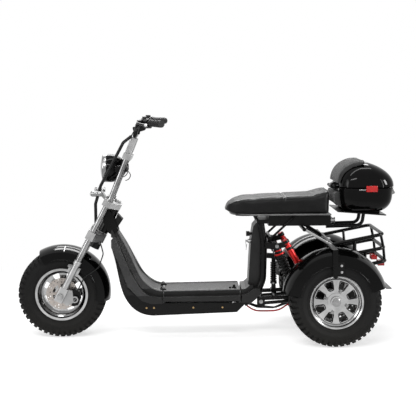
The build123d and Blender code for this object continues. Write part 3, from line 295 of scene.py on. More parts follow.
# %% The finishes of this vehicle
FINISHES = {
    "tyre_rubber": finish("tyre_rubber", grey(0.0035), grey(0.007), (0.55, 0.72), shine=0.13,
                          grain=(900, 0.3), cloud=9, dust=(0.1, 0.3)),
    "polished_alloy": finish("polished_alloy", grey(0.3), grey(0.44), (0.12, 0.24), metal=1,
                             grain=(1500, 0.04), wave=(30, 0.05)),
    "fork_silver": finish("fork_silver", grey(0.28), grey(0.4), (0.32, 0.44), metal=1, grain=(900, 0.12)),
    "chrome_tube": finish("chrome_tube", grey(0.17), grey(0.3), (0.2, 0.28), metal=1, grain=(300, 0.0)),
    "disc_steel": finish("disc_steel", (0.26, 0.24, 0.225), (0.4, 0.36, 0.33), (0.25, 0.4), metal=1,
                         grain=(1200, 0.15)),
    "black_satin": finish("black_satin", grey(0.0015), grey(0.003), (0.24, 0.34), coat=0.03, shine=0.12,
                          grain=(700, 0.08), dust=(0.02, 0.4)),
    "black_gloss": finish("black_gloss", grey(0.0008), grey(0.0014), (0.1, 0.14), coat=0.12, shine=0.06,
                          grain=(60, 0.004), wave=(6, 0.03)),
    "cover_grey": finish("cover_grey", grey(0.006), grey(0.0105), (0.32, 0.42), shine=0.24,
                         grain=(1400, 0.35), cloud=7, dust=(0.04, 0.4)),
    "black_plastic": finish("black_plastic", grey(0.002), grey(0.005), (0.4, 0.52), shine=0.16,
                            grain=(1200, 0.25)),
    "grip_rubber": finish("grip_rubber", grey(0.004), grey(0.008), (0.5, 0.65), shine=0.22,
                          grain=(1000, 0.35)),
    "seat_leather": finish("seat_leather", grey(0.0025), grey(0.005), (0.34, 0.44), shine=0.15,
                           grain=(480, 0.45), cloud=10, wave=(26, 0.12)),
    "pad_fabric": finish("pad_fabric", grey(0.02), grey(0.04), (0.7, 0.85), shine=0.2, grain=(260, 0.7),
                         woven=True),
    "red_anodised": finish("red_anodised", (0.36, 0.006, 0.006), (0.5, 0.012, 0.01), (0.22, 0.32), metal=0.5,
                           shine=0.3),
    "red_lens": finish("red_lens", (0.45, 0.006, 0.006), (0.58, 0.014, 0.012), (0.1, 0.18), coat=0.3,
                       shine=0.3),
    "cable_black": finish("cable_black", grey(0.002), grey(0.005), (0.3, 0.42), shine=0.2,
                          grain=(1200, 0.2)),
    "motor_metal": finish("motor_metal", grey(0.06), grey(0.1), (0.4, 0.55), metal=1, grain=(500, 0.3)),
    "lamp_glass": finish("lamp_glass", grey(0.5), grey(0.62), (0.06, 0.12), metal=0.9, grain=(200, 0.02)),
}
slot_of = {entry["node"]: entry["material_slot"] for entry in frame["record"]["subparts"]}
for node, solid in nodes.items():
    solid.data.materials.clear()
    solid.data.materials.append(FINISHES[slot_of[node]])
print("finishes", len(FINISHES))

# %% [markdown]
# Six more finishes are only for added pieces: pale seam thread, yellow-zinc bolts, a red cable sheath, the
# clear lens of a turn signal, a light grey painted as the highlight on edges, and the display's dark glass.
# Each names the record's slot that it stands in for.

# %% Finishes of small pieces
EXTRA = {
    "seam_thread": (finish("seam_thread", grey(0.5), grey(0.62), (0.7, 0.8)), "seat_leather"),
    "zinc_bolt": (finish("zinc_bolt", (0.3, 0.2, 0.09), (0.42, 0.3, 0.15), (0.25, 0.4), metal=1),
                  "disc_steel"),
    "red_sheath": (finish("red_sheath", (0.5, 0.01, 0.01), (0.6, 0.02, 0.02), (0.35, 0.45)), "cable_black"),
    "clear_lens": (finish("clear_lens", grey(0.5), grey(0.62), (0.1, 0.2), coat=0.3), "lamp_glass"),
    # A light grey painted as a highlight: it stands in for the bright line of light along rounded edges.
    "painted_highlight_grey": (finish("painted_highlight_grey", grey(0.1), grey(0.16), (0.22, 0.32), shine=0.4), "cover_grey"),
    "dark_glass": (finish("dark_glass", grey(0.004), grey(0.006), (0.05, 0.08), coat=1.0), "black_gloss"),
}
print("more finishes", sorted(EXTRA))

# %% [markdown]
# Small hard pieces come from bmesh operators. Each helper adds one form to an open bmesh, so that all the bolts
# of one body become a single piece. A last helper turns the faces outwards, makes the object, gives it a
# finish and lets it ride on its body.

# %% Helpers that add one form
def turned(way):
    """A rotation that takes up to the given direction."""
    return Vector(way).normalized().to_track_quat("Z", "Y").to_matrix().to_4x4()


def add_disc(bm, at, way, radius, height, sides=28, top=None):
    """A short cylinder or cone that stands on a point and grows along a direction."""
    move = Matrix.Translation(at) @ turned(way) @ Matrix.Translation((0, 0, height / 2))
    bmesh.ops.create_cone(bm, cap_ends=True, segments=sides, radius1=radius,
                          radius2=radius if top is None else top, depth=height, matrix=move)


def add_bolt(bm, at, way, radius=0.006):
    """A flanged hexagon head with a small end of thread."""
    way = Vector(way).normalized()
    add_disc(bm, at - way * 0.001, way, radius * 1.4, radius * 0.35 + 0.001, 24, radius * 1.25)
    add_disc(bm, at + way * radius * 0.3, way, radius, radius * 0.8, 6, radius * 0.9)
    add_disc(bm, at + way * radius * 1.05, way, radius * 0.5, radius * 0.35, 16)


def add_block(bm, at, size, tilt=0.0, soft=0.0015):
    """A block with rounded edges, tilted about the side-to-side axis."""
    made = bmesh.ops.create_cube(bm, size=1)
    edges = list({edge for vert in made["verts"] for edge in vert.link_edges})
    bmesh.ops.scale(bm, vec=size, verts=made["verts"])
    grown = bmesh.ops.bevel(bm, geom=edges, offset=soft, affect="EDGES", segments=3, profile=0.5, material=-1)
    verts = list({vert for face in grown["faces"] for vert in face.verts})
    bmesh.ops.transform(bm, matrix=Matrix.Translation(at) @ Matrix.Rotation(math.radians(tilt), 4, "Y"),
                        verts=verts)


def add_ring(bm, at, way, outline, steps=56):
    """A closed (along, radius) outline spun once about an axis."""
    way = Vector(way).normalized()
    side = way.orthogonal().normalized()
    verts = [bm.verts.new(at + way * along + side * radius) for along, radius in outline]
    edges = [bm.edges.new(pair) for pair in zip(verts, verts[1:])]
    if min(radius for _, radius in outline) > 0:
        edges.append(bm.edges.new((verts[-1], verts[0])))
    bmesh.ops.spin(bm, geom=verts + edges, cent=at, axis=way, angle=2 * math.pi, steps=steps, use_merge=True)
    bmesh.ops.remove_doubles(bm, verts=bm.verts, dist=1e-6)


# %% Helpers that make the object
def close_piece(name, bm, finish_name, body, smooth=40):
    """The finished bmesh as an object with one finish, riding on a body."""
    bmesh.ops.recalc_face_normals(bm, faces=bm.faces)
    mesh = bpy.data.meshes.new(name)
    bm.to_mesh(mesh)
    bm.free()
    material, slot = EXTRA[finish_name] if finish_name in EXTRA else (FINISHES[finish_name], finish_name)
    mesh.materials.append(material)
    mesh.shade_smooth()
    mesh.set_sharp_from_angle(angle=math.radians(smooth))
    piece = bpy.data.objects.new(name, mesh)
    bpy.context.scene.collection.objects.link(piece)
    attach(piece, body)
    return piece


def rod(name, points, radius, finish_name, body):
    """A bent wire, tube or cable along one smooth curve, made a mesh."""
    curve = bpy.data.curves.new(name, "CURVE")
    curve.dimensions = "3D"
    spline = curve.splines.new("NURBS")
    spline.points.add(len(points) - 1)
    for knot, point in zip(spline.points, points):
        knot.co = (*point, 1)
    spline.order_u = 3
    spline.use_endpoint_u = True
    spline.resolution_u = 10
    curve.bevel_depth = radius
    curve.bevel_resolution = 3
    curve.use_fill_caps = True
    holder = bpy.data.objects.new(name + "_curve", curve)
    mesh = bpy.data.meshes.new_from_object(holder)
    bpy.data.objects.remove(holder)
    bpy.data.curves.remove(curve)
    bm = bmesh.new()
    bm.from_mesh(mesh)
    bpy.data.meshes.remove(mesh)
    bmesh.ops.remove_doubles(bm, verts=bm.verts, dist=1e-6)
    return close_piece(name, bm, finish_name, body, 60)


print("helpers ready")

# %% [markdown]
# The headlight is a chrome ring with a clear, slightly bulging lens in front of a bright reflector. Both are
# turned forms, so each is an outline spun once about the lamp's axis, and together they stand in for the plain
# CAD front. The lamp's middle and size are read from that node, so the ring sits on the bowl.

# %% Headlight ring and lens
low, high = (Vector(corner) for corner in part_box("headlight_front"))
lamp_back = Vector((low.x, 0, (low.z + high.z) / 2))
lamp_r = (high.z - low.z) / 2
ring = bmesh.new()
add_ring(ring, lamp_back, AHEAD, [(0.0, lamp_r - 0.006), (0.0, lamp_r - 0.0005), (0.008, lamp_r),
                                  (0.016, lamp_r - 0.0015), (0.021, lamp_r - 0.005),
                                  (0.0225, lamp_r - 0.009), (0.02, lamp_r - 0.0115), (0.016, lamp_r - 0.011)])
lamp_ring = close_piece("headlight_ring", ring, "chrome_tube", "fork")
glass = bmesh.new()
add_ring(glass, lamp_back, AHEAD, [(0.0005, 0.0), (0.0005, 0.05), (0.0165, lamp_r - 0.0105),
                                   (0.02, lamp_r - 0.011), (0.026, 0.05), (0.031, 0.03), (0.0332, 0.012),
                                   (0.0335, 0.0)])
close_piece("headlight_lens", glass, "lamp_glass", "fork")
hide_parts("headlight_front")
print("headlight radius", round(lamp_r, 4))

# %% [markdown]
# The seat is foam under stretched leather, and the two backrests are thin padded cloth. Each starts from its
# own CAD solid, drawn in a little, because padding swells. The copy is remeshed into even small faces, its
# edges are relaxed, and a cloth simulation with air pressure rounds it between its borders. How far a point
# may move is capped, the underside is kept flat on its carrier, and the result is put into the mesh.

# %% Helpers for padding
AIR_FRAMES = 20


def settle(piece):
    """Puts what the modifiers made into the mesh and takes them off."""
    graph = bpy.context.evaluated_depsgraph_get()
    made = bpy.data.meshes.new_from_object(piece.evaluated_get(graph))
    piece.modifiers.clear()
    piece.data = made


def blow_up(piece, cap, pressure=4.0):
    """A short run of cloth under pressure, with every point's move capped."""
    before = [vert.co.copy() for vert in piece.data.vertices]
    cloth = piece.modifiers.new("air", "CLOTH")
    cloth.settings.use_pressure = True
    cloth.settings.uniform_pressure_force = pressure
    cloth.settings.effector_weights.gravity = 0
    for step in range(1, AIR_FRAMES + 1):
        bpy.context.scene.frame_set(step)
    settle(piece)
    for vert, old in zip(piece.data.vertices, before):
        move = vert.co - old
        if move.length > cap:
            vert.co = old + move.normalized() * cap
    bpy.context.scene.frame_set(1)


def padding(name, node, body, draw_in, voxel, relax, cap, finish_name, fit=None):
    """A stuffed piece grown from a CAD node's own mesh; fit may reshape it before the last smoothing."""
    low, high = (Vector(corner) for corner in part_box(node))
    middle, size = (low + high) / 2, high - low
    piece = bpy.data.objects.new(name, nodes[node].data.copy())
    bpy.context.scene.collection.objects.link(piece)
    for vert in piece.data.vertices:
        away = vert.co - middle
        vert.co = middle + Vector([away[i] * (1 - 2 * draw_in / size[i]) for i in range(3)])
    even = piece.modifiers.new("even", "REMESH")
    even.mode = "VOXEL"
    even.voxel_size = voxel
    soft = piece.modifiers.new("soft", "SMOOTH")
    soft.factor = 0.5
    soft.iterations = relax
    settle(piece)
    blow_up(piece, cap)
    if fit:
        fit(piece)
    finer = piece.modifiers.new("finer", "SUBSURF")
    finer.levels = finer.render_levels = 1
    settle(piece)
    for vert in piece.data.vertices:
        vert.co.z = max(vert.co.z, low.z)
    piece.data.materials.clear()
    piece.data.materials.append(FINISHES[finish_name])
    piece.data.shade_smooth()
    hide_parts(node)
    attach(piece, body)
    return piece


# %% [markdown]
# Air pressure alone leaves the seat a little low at its nose and at its raised rear edge, where an upholsterer
# would put firmer foam. So the padded mesh is stretched to its full length, and its height is set to the
# profile of the seat, keeping the round shoulders that the simulation made.

# %% Seat and backrests
SEAT_PROFILE = ((849, 668), (856, 683), (868, 698), (885, 709), (900, 715), (940, 724), (1040, 730),
                (1150, 735), (1240, 739), (1290, 742), (1325, 750), (1350, 756), (1375, 758), (1383, 756),
                (1388, 749))
SEAT_LOW = 642.0
SEAT_ENDS = (849, 1387)
SLICE = 0.006


def wanted_top(u):
    """The height of the profile at a place along the seat."""
    for (near_u, near_z), (far_u, far_z) in zip(SEAT_PROFILE, SEAT_PROFILE[1:]):
        if u <= far_u:
            return near_z + (far_z - near_z) * max(0.0, u - near_u) / (far_u - near_u)
    return SEAT_PROFILE[-1][1]


def fit_seat(piece):
    """Stretches the padded seat to its length and to its profile."""
    verts = piece.data.vertices
    back, nose = min(vert.co.x for vert in verts), max(vert.co.x for vert in verts)
    want_nose, want_back = (place(u, 0, 0).x for u in SEAT_ENDS)
    for vert in verts:
        vert.co.x = want_back + (vert.co.x - back) * (want_nose - want_back) / (nose - back)
    tops = {}
    for vert in verts:
        slot = round(vert.co.x / SLICE)
        tops[slot] = max(tops.get(slot, 0.0), vert.co.z)
    smooth_tops = {slot: sum(tops.get(slot + i, top) for i in (-1, 0, 1)) / 3 for slot, top in tops.items()}
    for vert in verts:
        u = FRONT_AXLE - vert.co.x * 1000
        top = smooth_tops[round(vert.co.x / SLICE)] * 1000
        share = (vert.co.z * 1000 - SEAT_LOW) / (top - SEAT_LOW)
        vert.co.z = (SEAT_LOW + share * (wanted_top(u) - SEAT_LOW)) / 1000


seat = padding("seat_cushion", "seat", "seat", draw_in=0.003, voxel=0.006, relax=12, cap=0.005,
               finish_name="seat_leather", fit=fit_seat)
lower_pad = padding("backrest_pad_lower", "backrest_lower", "frame", draw_in=0.0015, voxel=0.005,
                    relax=3, cap=0.003, finish_name="pad_fabric")
upper_pad = padding("backrest_pad_upper", "backrest_upper", "box_lid", draw_in=0.0005, voxel=0.0045,
                    relax=2, cap=0.002, finish_name="pad_fabric")
print("seat faces", len(seat.data.polygons), "pads", len(lower_pad.data.polygons),
      len(upper_pad.data.polygons))

# %% [markdown]
# The front and rear covers of the seat meet in a sewn channel, so the leather dips along a line across it. The
# dip comes after the padding, because a seam narrower than the remesh would be lost in it: every point near
# the line sinks a little, most on the line itself. A pale double row of stitches then crosses the channel.

# %% Seat channel and stitches
SEAM_U, SEAM_DEPTH, SEAM_WIDTH = 1150.0, 0.0035, 0.006
seam_x = place(SEAM_U, 0, 0).x
normals = [vert.normal.copy() for vert in seat.data.vertices]
for vert, normal in zip(seat.data.vertices, normals):
    nearness = math.exp(-((vert.co.x - seam_x) / SEAM_WIDTH) ** 2)
    vert.co -= normal * SEAM_DEPTH * nearness * max(0.0, normal.z)


leather = BVHTree.FromPolygons([vert.co for vert in seat.data.vertices],
                               [face.vertices for face in seat.data.polygons])


def on_leather(start, way):
    """Where a ray meets the seat, and the normal there."""
    at, normal, _, _ = leather.ray_cast(start, way)
    return at, normal


STITCH_STEP, STITCH_ROWS = 4.2, (-5.0, 5.0)
stitches = bmesh.new()
for row in STITCH_ROWS:
    for step in range(-31, 32):
        at, normal = on_leather(place(SEAM_U + row, step * STITCH_STEP, 900), -UP)
        if at is not None and normal.z > 0.6:
            lay = Matrix.Translation(at) @ turned(normal) @ Matrix.Diagonal((0.7, 1.5, 0.5, 1))
            bmesh.ops.create_icosphere(stitches, subdivisions=1, radius=0.0011, matrix=lay)
thread = close_piece("seat_stitches", stitches, "seam_thread", "seat")
for way, side_name in ((1, "left"), (-1, "right")):
    welt = []
    for u in range(905, 1381, 25):
        at, normal = on_leather(place(u, way * 300, 660), LEFT * -way)
        if at is not None:
            welt.append(at + LEFT * way * 0.0005)
    rod("seat_welt_" + side_name, welt, 0.0017, "seat_leather", "seat")
# A light-grey rod along the edge of the seat pan is a painted highlight line.
PAN_HALF = [(1386, 131), (1200, 131), (1060, 131), (985, 128), (930, 112), (892, 78), (878, 36), (876, 0)]
pan_highlight_line = PAN_HALF + [(u, -v) for u, v in reversed(PAN_HALF[:-1])]
rod("seat_pan_highlight", [place(u, v, 641) for u, v in pan_highlight_line], 0.005, "painted_highlight_grey", "seat")
print("stitches", len(thread.data.polygons), "welt points", len(welt))

# %% [markdown]
# The frame's own cables are CAD solids. Beside them the real vehicle shows thinner ones: two wires that loop
# behind the lamp, one that leaves the left switch, and a red motor lead that sags under the pivot.

# %% Thin wires
RED_LEAD = [(936, 54, 178), (985, 54, 128), (1060, 54, 126), (1130, 54, 128), (1180, 54, 168),
            (1300, 54, 205)]
LAMP_WIRES = {"upper": [(338, 24, 900), (352, 40, 880), (346, 48, 846), (322, 56, 830), (300, 60, 838)],
              "lower": [(338, -20, 862), (362, -22, 846), (350, -30, 812), (330, -60, 806)]}
SWITCH_WIRE = [(432, 176, 1108), (400, 150, 1080), (380, 120, 1062), (370, 90, 1040)]
rod("motor_lead_red", [place(*point) for point in RED_LEAD], 0.0042, "red_sheath", "frame")
for wire_name, route in LAMP_WIRES.items():
    rod("lamp_wire_" + wire_name, [place(*point) for point in route], 0.0022, "cable_black", "fork")
rod("switch_wire", [place(*point) for point in SWITCH_WIRE], 0.003, "cable_black", "fork")
print("wires drawn")

# %% [markdown]
# Bolts are what make separate parts look held together. Each table lists where they stand on one side, and the
# helper repeats every row on the other side. Steel bolts hold fenders and struts, and small yellow-zinc ones
# hold the side of the deck.

# %% Bolts by body
def bolt_piece(name, rows, finish_name, body):
    """One piece from rows of (u, v, z, radius), each set on both sides of the vehicle."""
    bm = bmesh.new()
    for u, v, z, radius in rows:
        for way in (1, -1):
            add_bolt(bm, place(u, way * v, z), LEFT * way, radius)
    return close_piece(name, bm, finish_name, body)


bolt_piece("panel_bolts", [(u, BELLY_HALF, 164, 0.0038) for u in (440, 478, 680, 830)], "zinc_bolt", "frame")
bolt_piece("pivot_bolts", [(1030, 112.5, 188, 0.008), (1371, 112.5, 228, 0.007), (1184, 112.5, 232, 0.005)],
           "chrome_tube", "frame")
bolt_piece("shock_bolts", [(1108, 152, 482, 0.0075), (1184, 145.5, 280, 0.0075)], "chrome_tube", "frame")
bolt_piece("fender_bolts", [(1405, 371, 417, 0.0048), (1406, 371, 385, 0.0048)],
           "fork_silver", "frame")
bolt_piece("leg_bolts", [(48, 114, 384, 0.0075), (91, 114, 366, 0.0075)], "chrome_tube", "fork")
bolt_piece("axle_nuts", [(0, 151.5, AXLE_Z, 0.011)], "fork_silver", "fork")

# %% [markdown]
# A flat black bracket joins the fender to its stay behind the two bolts, a silver strap holds the front fender,
# and a round boss with a slotted cap closes the brake caliper.

# %% Brackets and the caliper's cap
brackets = bmesh.new()
for way in (1, -1):
    add_block(brackets, place(1400, way * 369.3, 402), (0.036, 0.003, 0.064), 0, 0.0012)
close_piece("fender_brackets", brackets, "black_satin", "frame")
CROWN_R, CROWN_DROP, CROWN_HALF = 249.0, 26.0, 99.5
STRAP_U = 19
strap = []
for v in (46, 62, 76, 88, 96):
    ring_r = CROWN_R - CROWN_DROP * (v / CROWN_HALF) ** 2
    strap.append(place(STRAP_U, v, AXLE_Z + math.sqrt(ring_r ** 2 - STRAP_U ** 2) + 1))
rod("fender_strap", strap, 0.0042, "fork_silver", "fork")
caps = bmesh.new()
add_ring(caps, place(70, 102, 205), LEFT, [(-0.001, 0.011), (-0.001, 0.0175), (0.002, 0.0175),
                                           (0.0025, 0.0125), (0.0025, 0.011)], 36)
add_block(caps, place(70, 102.6, 205), (0.014, 0.002, 0.003), 65, 0.0008)
close_piece("caliper_cap", caps, "fork_silver", "fork")
print("strap points", len(strap))

# %% [markdown]
# The shocks are mostly black with a few red anodised rings. So black caps and black blocks go over the red
# reservoirs, two red rings go on each shock, and a small red cap ends each reservoir. What is round is turned
# about the line of its own shock or reservoir.

# %% Shock caps and preload rings
SHOCK_LINE = ((1108, 130, 482), (1184, 130, 280))
TANK_LINE = ((1154, 132, 506), (1220, 132, 384))


def along_line(line, way, distance):
    """A point on a line and its direction, on the left (1) or the right (-1)."""
    start, end = (place(u, way * v, z) for u, v, z in line)
    direction = (end - start).normalized()
    return start + direction * distance, direction


rings, shock_caps = bmesh.new(), bmesh.new()
for way in (1, -1):
    for distance, radius, height in ((0.040, 0.0285, 0.006), (0.022, 0.0185, 0.005)):
        at, direction = along_line(SHOCK_LINE, way, distance)
        add_disc(rings, at, direction, radius, height, 36)
    at, direction = along_line(TANK_LINE, way, -0.009)
    add_disc(rings, at, direction, 0.0135, 0.004, 32, 0.0145)
    for distance, radius, height in ((-0.005, 0.0172, 0.016), (0.0345, 0.0174, 0.013)):
        at, direction = along_line(TANK_LINE, way, distance)
        add_disc(shock_caps, at, direction, radius, height, 36)
    add_block(shock_caps, place(1136, way * 132, 486), (0.05, 0.0245, 0.027), 14, 0.002)
    add_block(shock_caps, place(1184, way * 132, 472), (0.012, 0.03, 0.012), 14, 0.002)
close_piece("preload_rings", rings, "red_anodised", "frame")
close_piece("shock_caps", shock_caps, "black_satin", "frame")
collar = bmesh.new()
add_disc(collar, place(1104, 0, 262), UP, 0.0185, 0.008, 32)
close_piece("damper_collar", collar, "chrome_tube", "frame")
print("shocks dressed")

# %% [markdown]
# The cover's edge, where its raised middle meets the side, from the neck down to the deck and along the lid,
# catches a bright highlight. That highlight is painted: a thin smooth light-grey rod is laid on that edge, one
# for the fixed cover and one for the lid. The flat struts behind the seat carry a light-grey face plate.

# %% Painted highlight rods on the cover's edge, strut plates and lamp ears
COVER_EDGE = [(282, 24, 562), (328, 39, 488), (364, 59, 411), (409, 85, 318), (446, 103, 279),
              (486, 107, 253), (521, 107, 247.5)]
LID_EDGE = [(530, 107, 247.5), (720, 107, 250), (918, 107, 253)]
# Painted highlight: light-grey rods on the cover and lid edges.
for way, side_name in ((1, "left"), (-1, "right")):
    cover_line = [place(u, way * v, z) for u, v, z in COVER_EDGE]
    lid_line = [place(u, way * v, z) for u, v, z in LID_EDGE]
    rod("cover_highlight_" + side_name, cover_line, 0.0048, "painted_highlight_grey", "frame")
    rod("lid_highlight_" + side_name, lid_line, 0.0042, "painted_highlight_grey", "deck_lid")
plates = bmesh.new()
for way in (1, -1):
    add_block(plates, place(1317, way * 194.6, 530), (0.158, 0.0016, 0.0125), -30.6, 0.0006)
close_piece("strut_plates", plates, "fork_silver", "frame")
ears = bmesh.new()
low, high = (Vector(corner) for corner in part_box("headlight_bowl"))
for way in (1, -1):
    ear_at = Vector((low.x + 0.026, way * 0.0605, (low.z + high.z) / 2))
    add_block(ears, ear_at, (0.064, 0.042, 0.032), 0, 0.003)
close_piece("lamp_ears", ears, "black_satin", "fork")
print("painted highlights laid")

# %% [markdown]
# The wheels get what a garage would notice: raised beads on the tyre walls, a rubber valve in each rim, and on
# each rear face four lug bolts and a plain domed cap. Turned forms are spun, and what repeats
# around the hub is placed by one loop.

# %% Tyre beads, valves and lug bolts
WHEELS = (("front_wheel", 0.0, 0.0), ("rear_wheel_left", REAR_AXLE, TRACK_HALF),
          ("rear_wheel_right", REAR_AXLE, -TRACK_HALF))
BEADS = ((83.5, 146.0, 1.4), (89.8, 172.0, 1.2), (89.8, 196.0, 1.2))
VALVE_R, VALVE_ANGLE = 112, 200
LUG_R, LUG_ANGLE = 53, 20
for body, u, v in WHEELS:
    beads = bmesh.new()
    for way in (1, -1):
        for out, radius, thick in BEADS:
            outline = [(math.cos(a) * thick / 1000, (radius + math.sin(a) * thick) / 1000)
                       for a in (math.radians(60 * step) for step in range(6))]
            add_ring(beads, place(u, v + way * out, AXLE_Z), LEFT, outline, 72)
    close_piece("tyre_beads_" + body, beads, "tyre_rubber", body)
    valve = bmesh.new()
    side = -1 if v < 0 else 1
    turn = math.radians(VALVE_ANGLE)
    spot = place(u + VALVE_R * math.cos(turn), v + side * 44, AXLE_Z + VALVE_R * math.sin(turn))
    add_disc(valve, spot, LEFT * side, 0.0045, 0.022, 16, 0.004)
    add_disc(valve, spot + LEFT * side * 0.022, LEFT * side, 0.0048, 0.007, 12)
    close_piece("valve_" + body, valve, "black_plastic", body)
for way, body in ((1, "rear_wheel_left"), (-1, "rear_wheel_right")):
    lugs = bmesh.new()
    for step in range(4):
        turn = math.radians(LUG_ANGLE + 90 * step)
        spot = place(REAR_AXLE - way * LUG_R * math.cos(turn), way * (TRACK_HALF + HUB_FACE + 4),
                     AXLE_Z + LUG_R * math.sin(turn))
        add_bolt(lugs, spot, LEFT * way, 0.0062)
    close_piece("lug_bolts_" + body, lugs, "chrome_tube", body)
    cap = bmesh.new()
    add_ring(cap, place(REAR_AXLE, way * (TRACK_HALF + HUB_FACE + HUB_CAP), AXLE_Z), LEFT * way,
             [(-0.001, 0.0), (-0.001, 0.0225), (0.002, 0.021), (0.0045, 0.014), (0.0052, 0.0)], 40)
    close_piece("hub_cap_" + body, cap, "chrome_tube", body)
print("wheels dressed")

# %% [markdown]
# The shade in the windows of the rear wheels reaches beyond the CAD openings. That shade is painted: a thin
# black frame around each window, a four-sided face with rounded corners, inset once, opened in the middle and
# given a small thickness.

# %% Painted shade around the windows of the rear wheels
WINDOWS, SHADE_FRAME_R, SHADE_FRAME_HALF = 8, (0.0575, 0.1065), (0.0135, 0.0255)


def add_shade_frame(bm, centre, angle):
    """One black frame of painted shade around a window on a wheel face, at an angle about the wheel's middle.
    """
    made = bmesh.ops.create_circle(bm, segments=4, radius=0.02, cap_ends=True)
    corners = [(SHADE_FRAME_R[0], -SHADE_FRAME_HALF[0]), (SHADE_FRAME_R[1], -SHADE_FRAME_HALF[1]), (SHADE_FRAME_R[1], SHADE_FRAME_HALF[1]),
               (SHADE_FRAME_R[0], SHADE_FRAME_HALF[0])]
    for vert, (out, across) in zip(made["verts"], corners):
        vert.co = Vector((out, 0, across))
    face = made["verts"][0].link_faces[0]
    rounded = bmesh.ops.bevel(bm, geom=list(face.verts), offset=0.009, affect="VERTICES", segments=4,
                              profile=0.5, material=-1)
    face = rounded["verts"][0].link_faces[0]
    bmesh.ops.inset_individual(bm, faces=[face], thickness=0.0045, depth=0)
    band = {near for edge in face.edges for near in edge.link_faces} - {face}
    bmesh.ops.delete(bm, geom=[face], context="FACES_ONLY")
    verts = list({vert for near in band for vert in near.verts})
    thick = bmesh.ops.solidify(bm, geom=list(band), thickness=0.0009)
    verts += [part for part in thick["geom"] if isinstance(part, bmesh.types.BMVert)]
    turn = Matrix.Translation(centre) @ Matrix.Rotation(angle, 4, "Y")
    bmesh.ops.transform(bm, matrix=turn, verts=list(set(verts)))


# Painted shade: a black frame around each window of both rear wheels.
for way, body in ((1, "rear_wheel_left"), (-1, "rear_wheel_right")):
    shade_frames = bmesh.new()
    centre = place(REAR_AXLE, way * (TRACK_HALF + HUB_FACE + 0.5), AXLE_Z)
    for window in range(WINDOWS):
        add_shade_frame(shade_frames, centre, math.radians((window + 0.5) * 360 / WINDOWS))
    close_piece("window_shade_frames_" + body, shade_frames, "black_satin", body)
print("shade_frames", WINDOWS)

# %% [markdown]
# Locks and switches are turned barrels with a flat key in them. One stands on the seat pillar with a knob above
# it and two keys hanging, one closes the box under the seat, and a small catch sits on the deck lid.

# %% Locks and keys
locks = bmesh.new()
add_disc(locks, place(984, 30, 494), AHEAD, 0.0115, 0.018, 28, 0.0105)
add_block(locks, place(960, 30, 494), (0.012, 0.0022, 0.012), 0, 0.0008)
add_block(locks, place(957, 30, 474), (0.0022, 0.011, 0.03), 6, 0.0008)
add_block(locks, place(959, 36, 462), (0.0022, 0.01, 0.03), -8, 0.0008)
close_piece("pillar_lock", locks, "fork_silver", "frame")
knob = bmesh.new()
add_disc(knob, place(990, 30, 532), AHEAD, 0.007, 0.014, 20)
add_disc(knob, place(976, 30, 532), AHEAD, 0.0125, 0.018, 8, 0.0135)
close_piece("pillar_knob", knob, "black_plastic", "frame")
tray_lock = bmesh.new()
add_disc(tray_lock, place(1389, 62, 604), BACK, 0.0185, 0.009, 28, 0.018)
add_disc(tray_lock, place(1398, 62, 604), BACK, 0.013, 0.014, 28, 0.0125)
add_disc(tray_lock, place(1412, 62, 604), BACK, 0.0155, 0.003, 28)
close_piece("tray_lock", tray_lock, "fork_silver", "frame")
catch = bmesh.new()
add_disc(catch, place(893, 60, 251), UP, 0.012, 0.006, 24)
add_disc(catch, place(893, 60, 257), UP, 0.008, 0.012, 6, 0.007)
add_disc(catch, place(872, 74, 250), UP, 0.006, 0.011, 16)
close_piece("deck_catch", catch, "black_plastic", "deck_lid")
print("locks done")

# %% [markdown]
# The top box carries a red reflector on each side below its seam with a small clip beside it, knobs at the ends
# of its hinge and a bright lock barrel behind. They are rounded blocks and turned barrels.

# %% Top box trim
reflectors, clips = bmesh.new(), bmesh.new()
for way in (1, -1):
    add_block(reflectors, place(1582, way * 194, 776), (0.057, 0.006, 0.031), 0, 0.002)
    add_block(clips, place(1534, way * 192.5, 771), (0.034, 0.004, 0.007), 0, 0.0014)
    add_disc(clips, place(1712, way * 16.5, 750), LEFT * way, 0.0105, 0.004, 24)
    add_disc(clips, place(1727, way * 16.5, 741), LEFT * way, 0.0075, 0.004, 24)
close_piece("box_reflectors", reflectors, "red_lens", "frame")
close_piece("box_clips", clips, "chrome_tube", "frame")
knobs = bmesh.new()
for way in (1, -1):
    add_disc(knobs, place(1398, way * 36.5, 779.5), LEFT * way, 0.0085, 0.014, 12, 0.0075)
    add_disc(knobs, place(1398, way * 50.5, 779.5), LEFT * way, 0.005, 0.003, 12)
close_piece("hinge_knobs", knobs, "black_plastic", "frame")
barrel = bmesh.new()
add_disc(barrel, place(1723, 0, 749), Vector((-0.9, 0, 0.15)), 0.009, 0.008, 28)
close_piece("box_lock", barrel, "chrome_tube", "frame")
print("top box dressed")

# %% [markdown]
# On the handlebar sit ribs on the grips, a ball on the end of each lever and a display under dark glass, and
# the turn signals get their clear lenses. The ribs follow the straight line of the grip in the CAD.

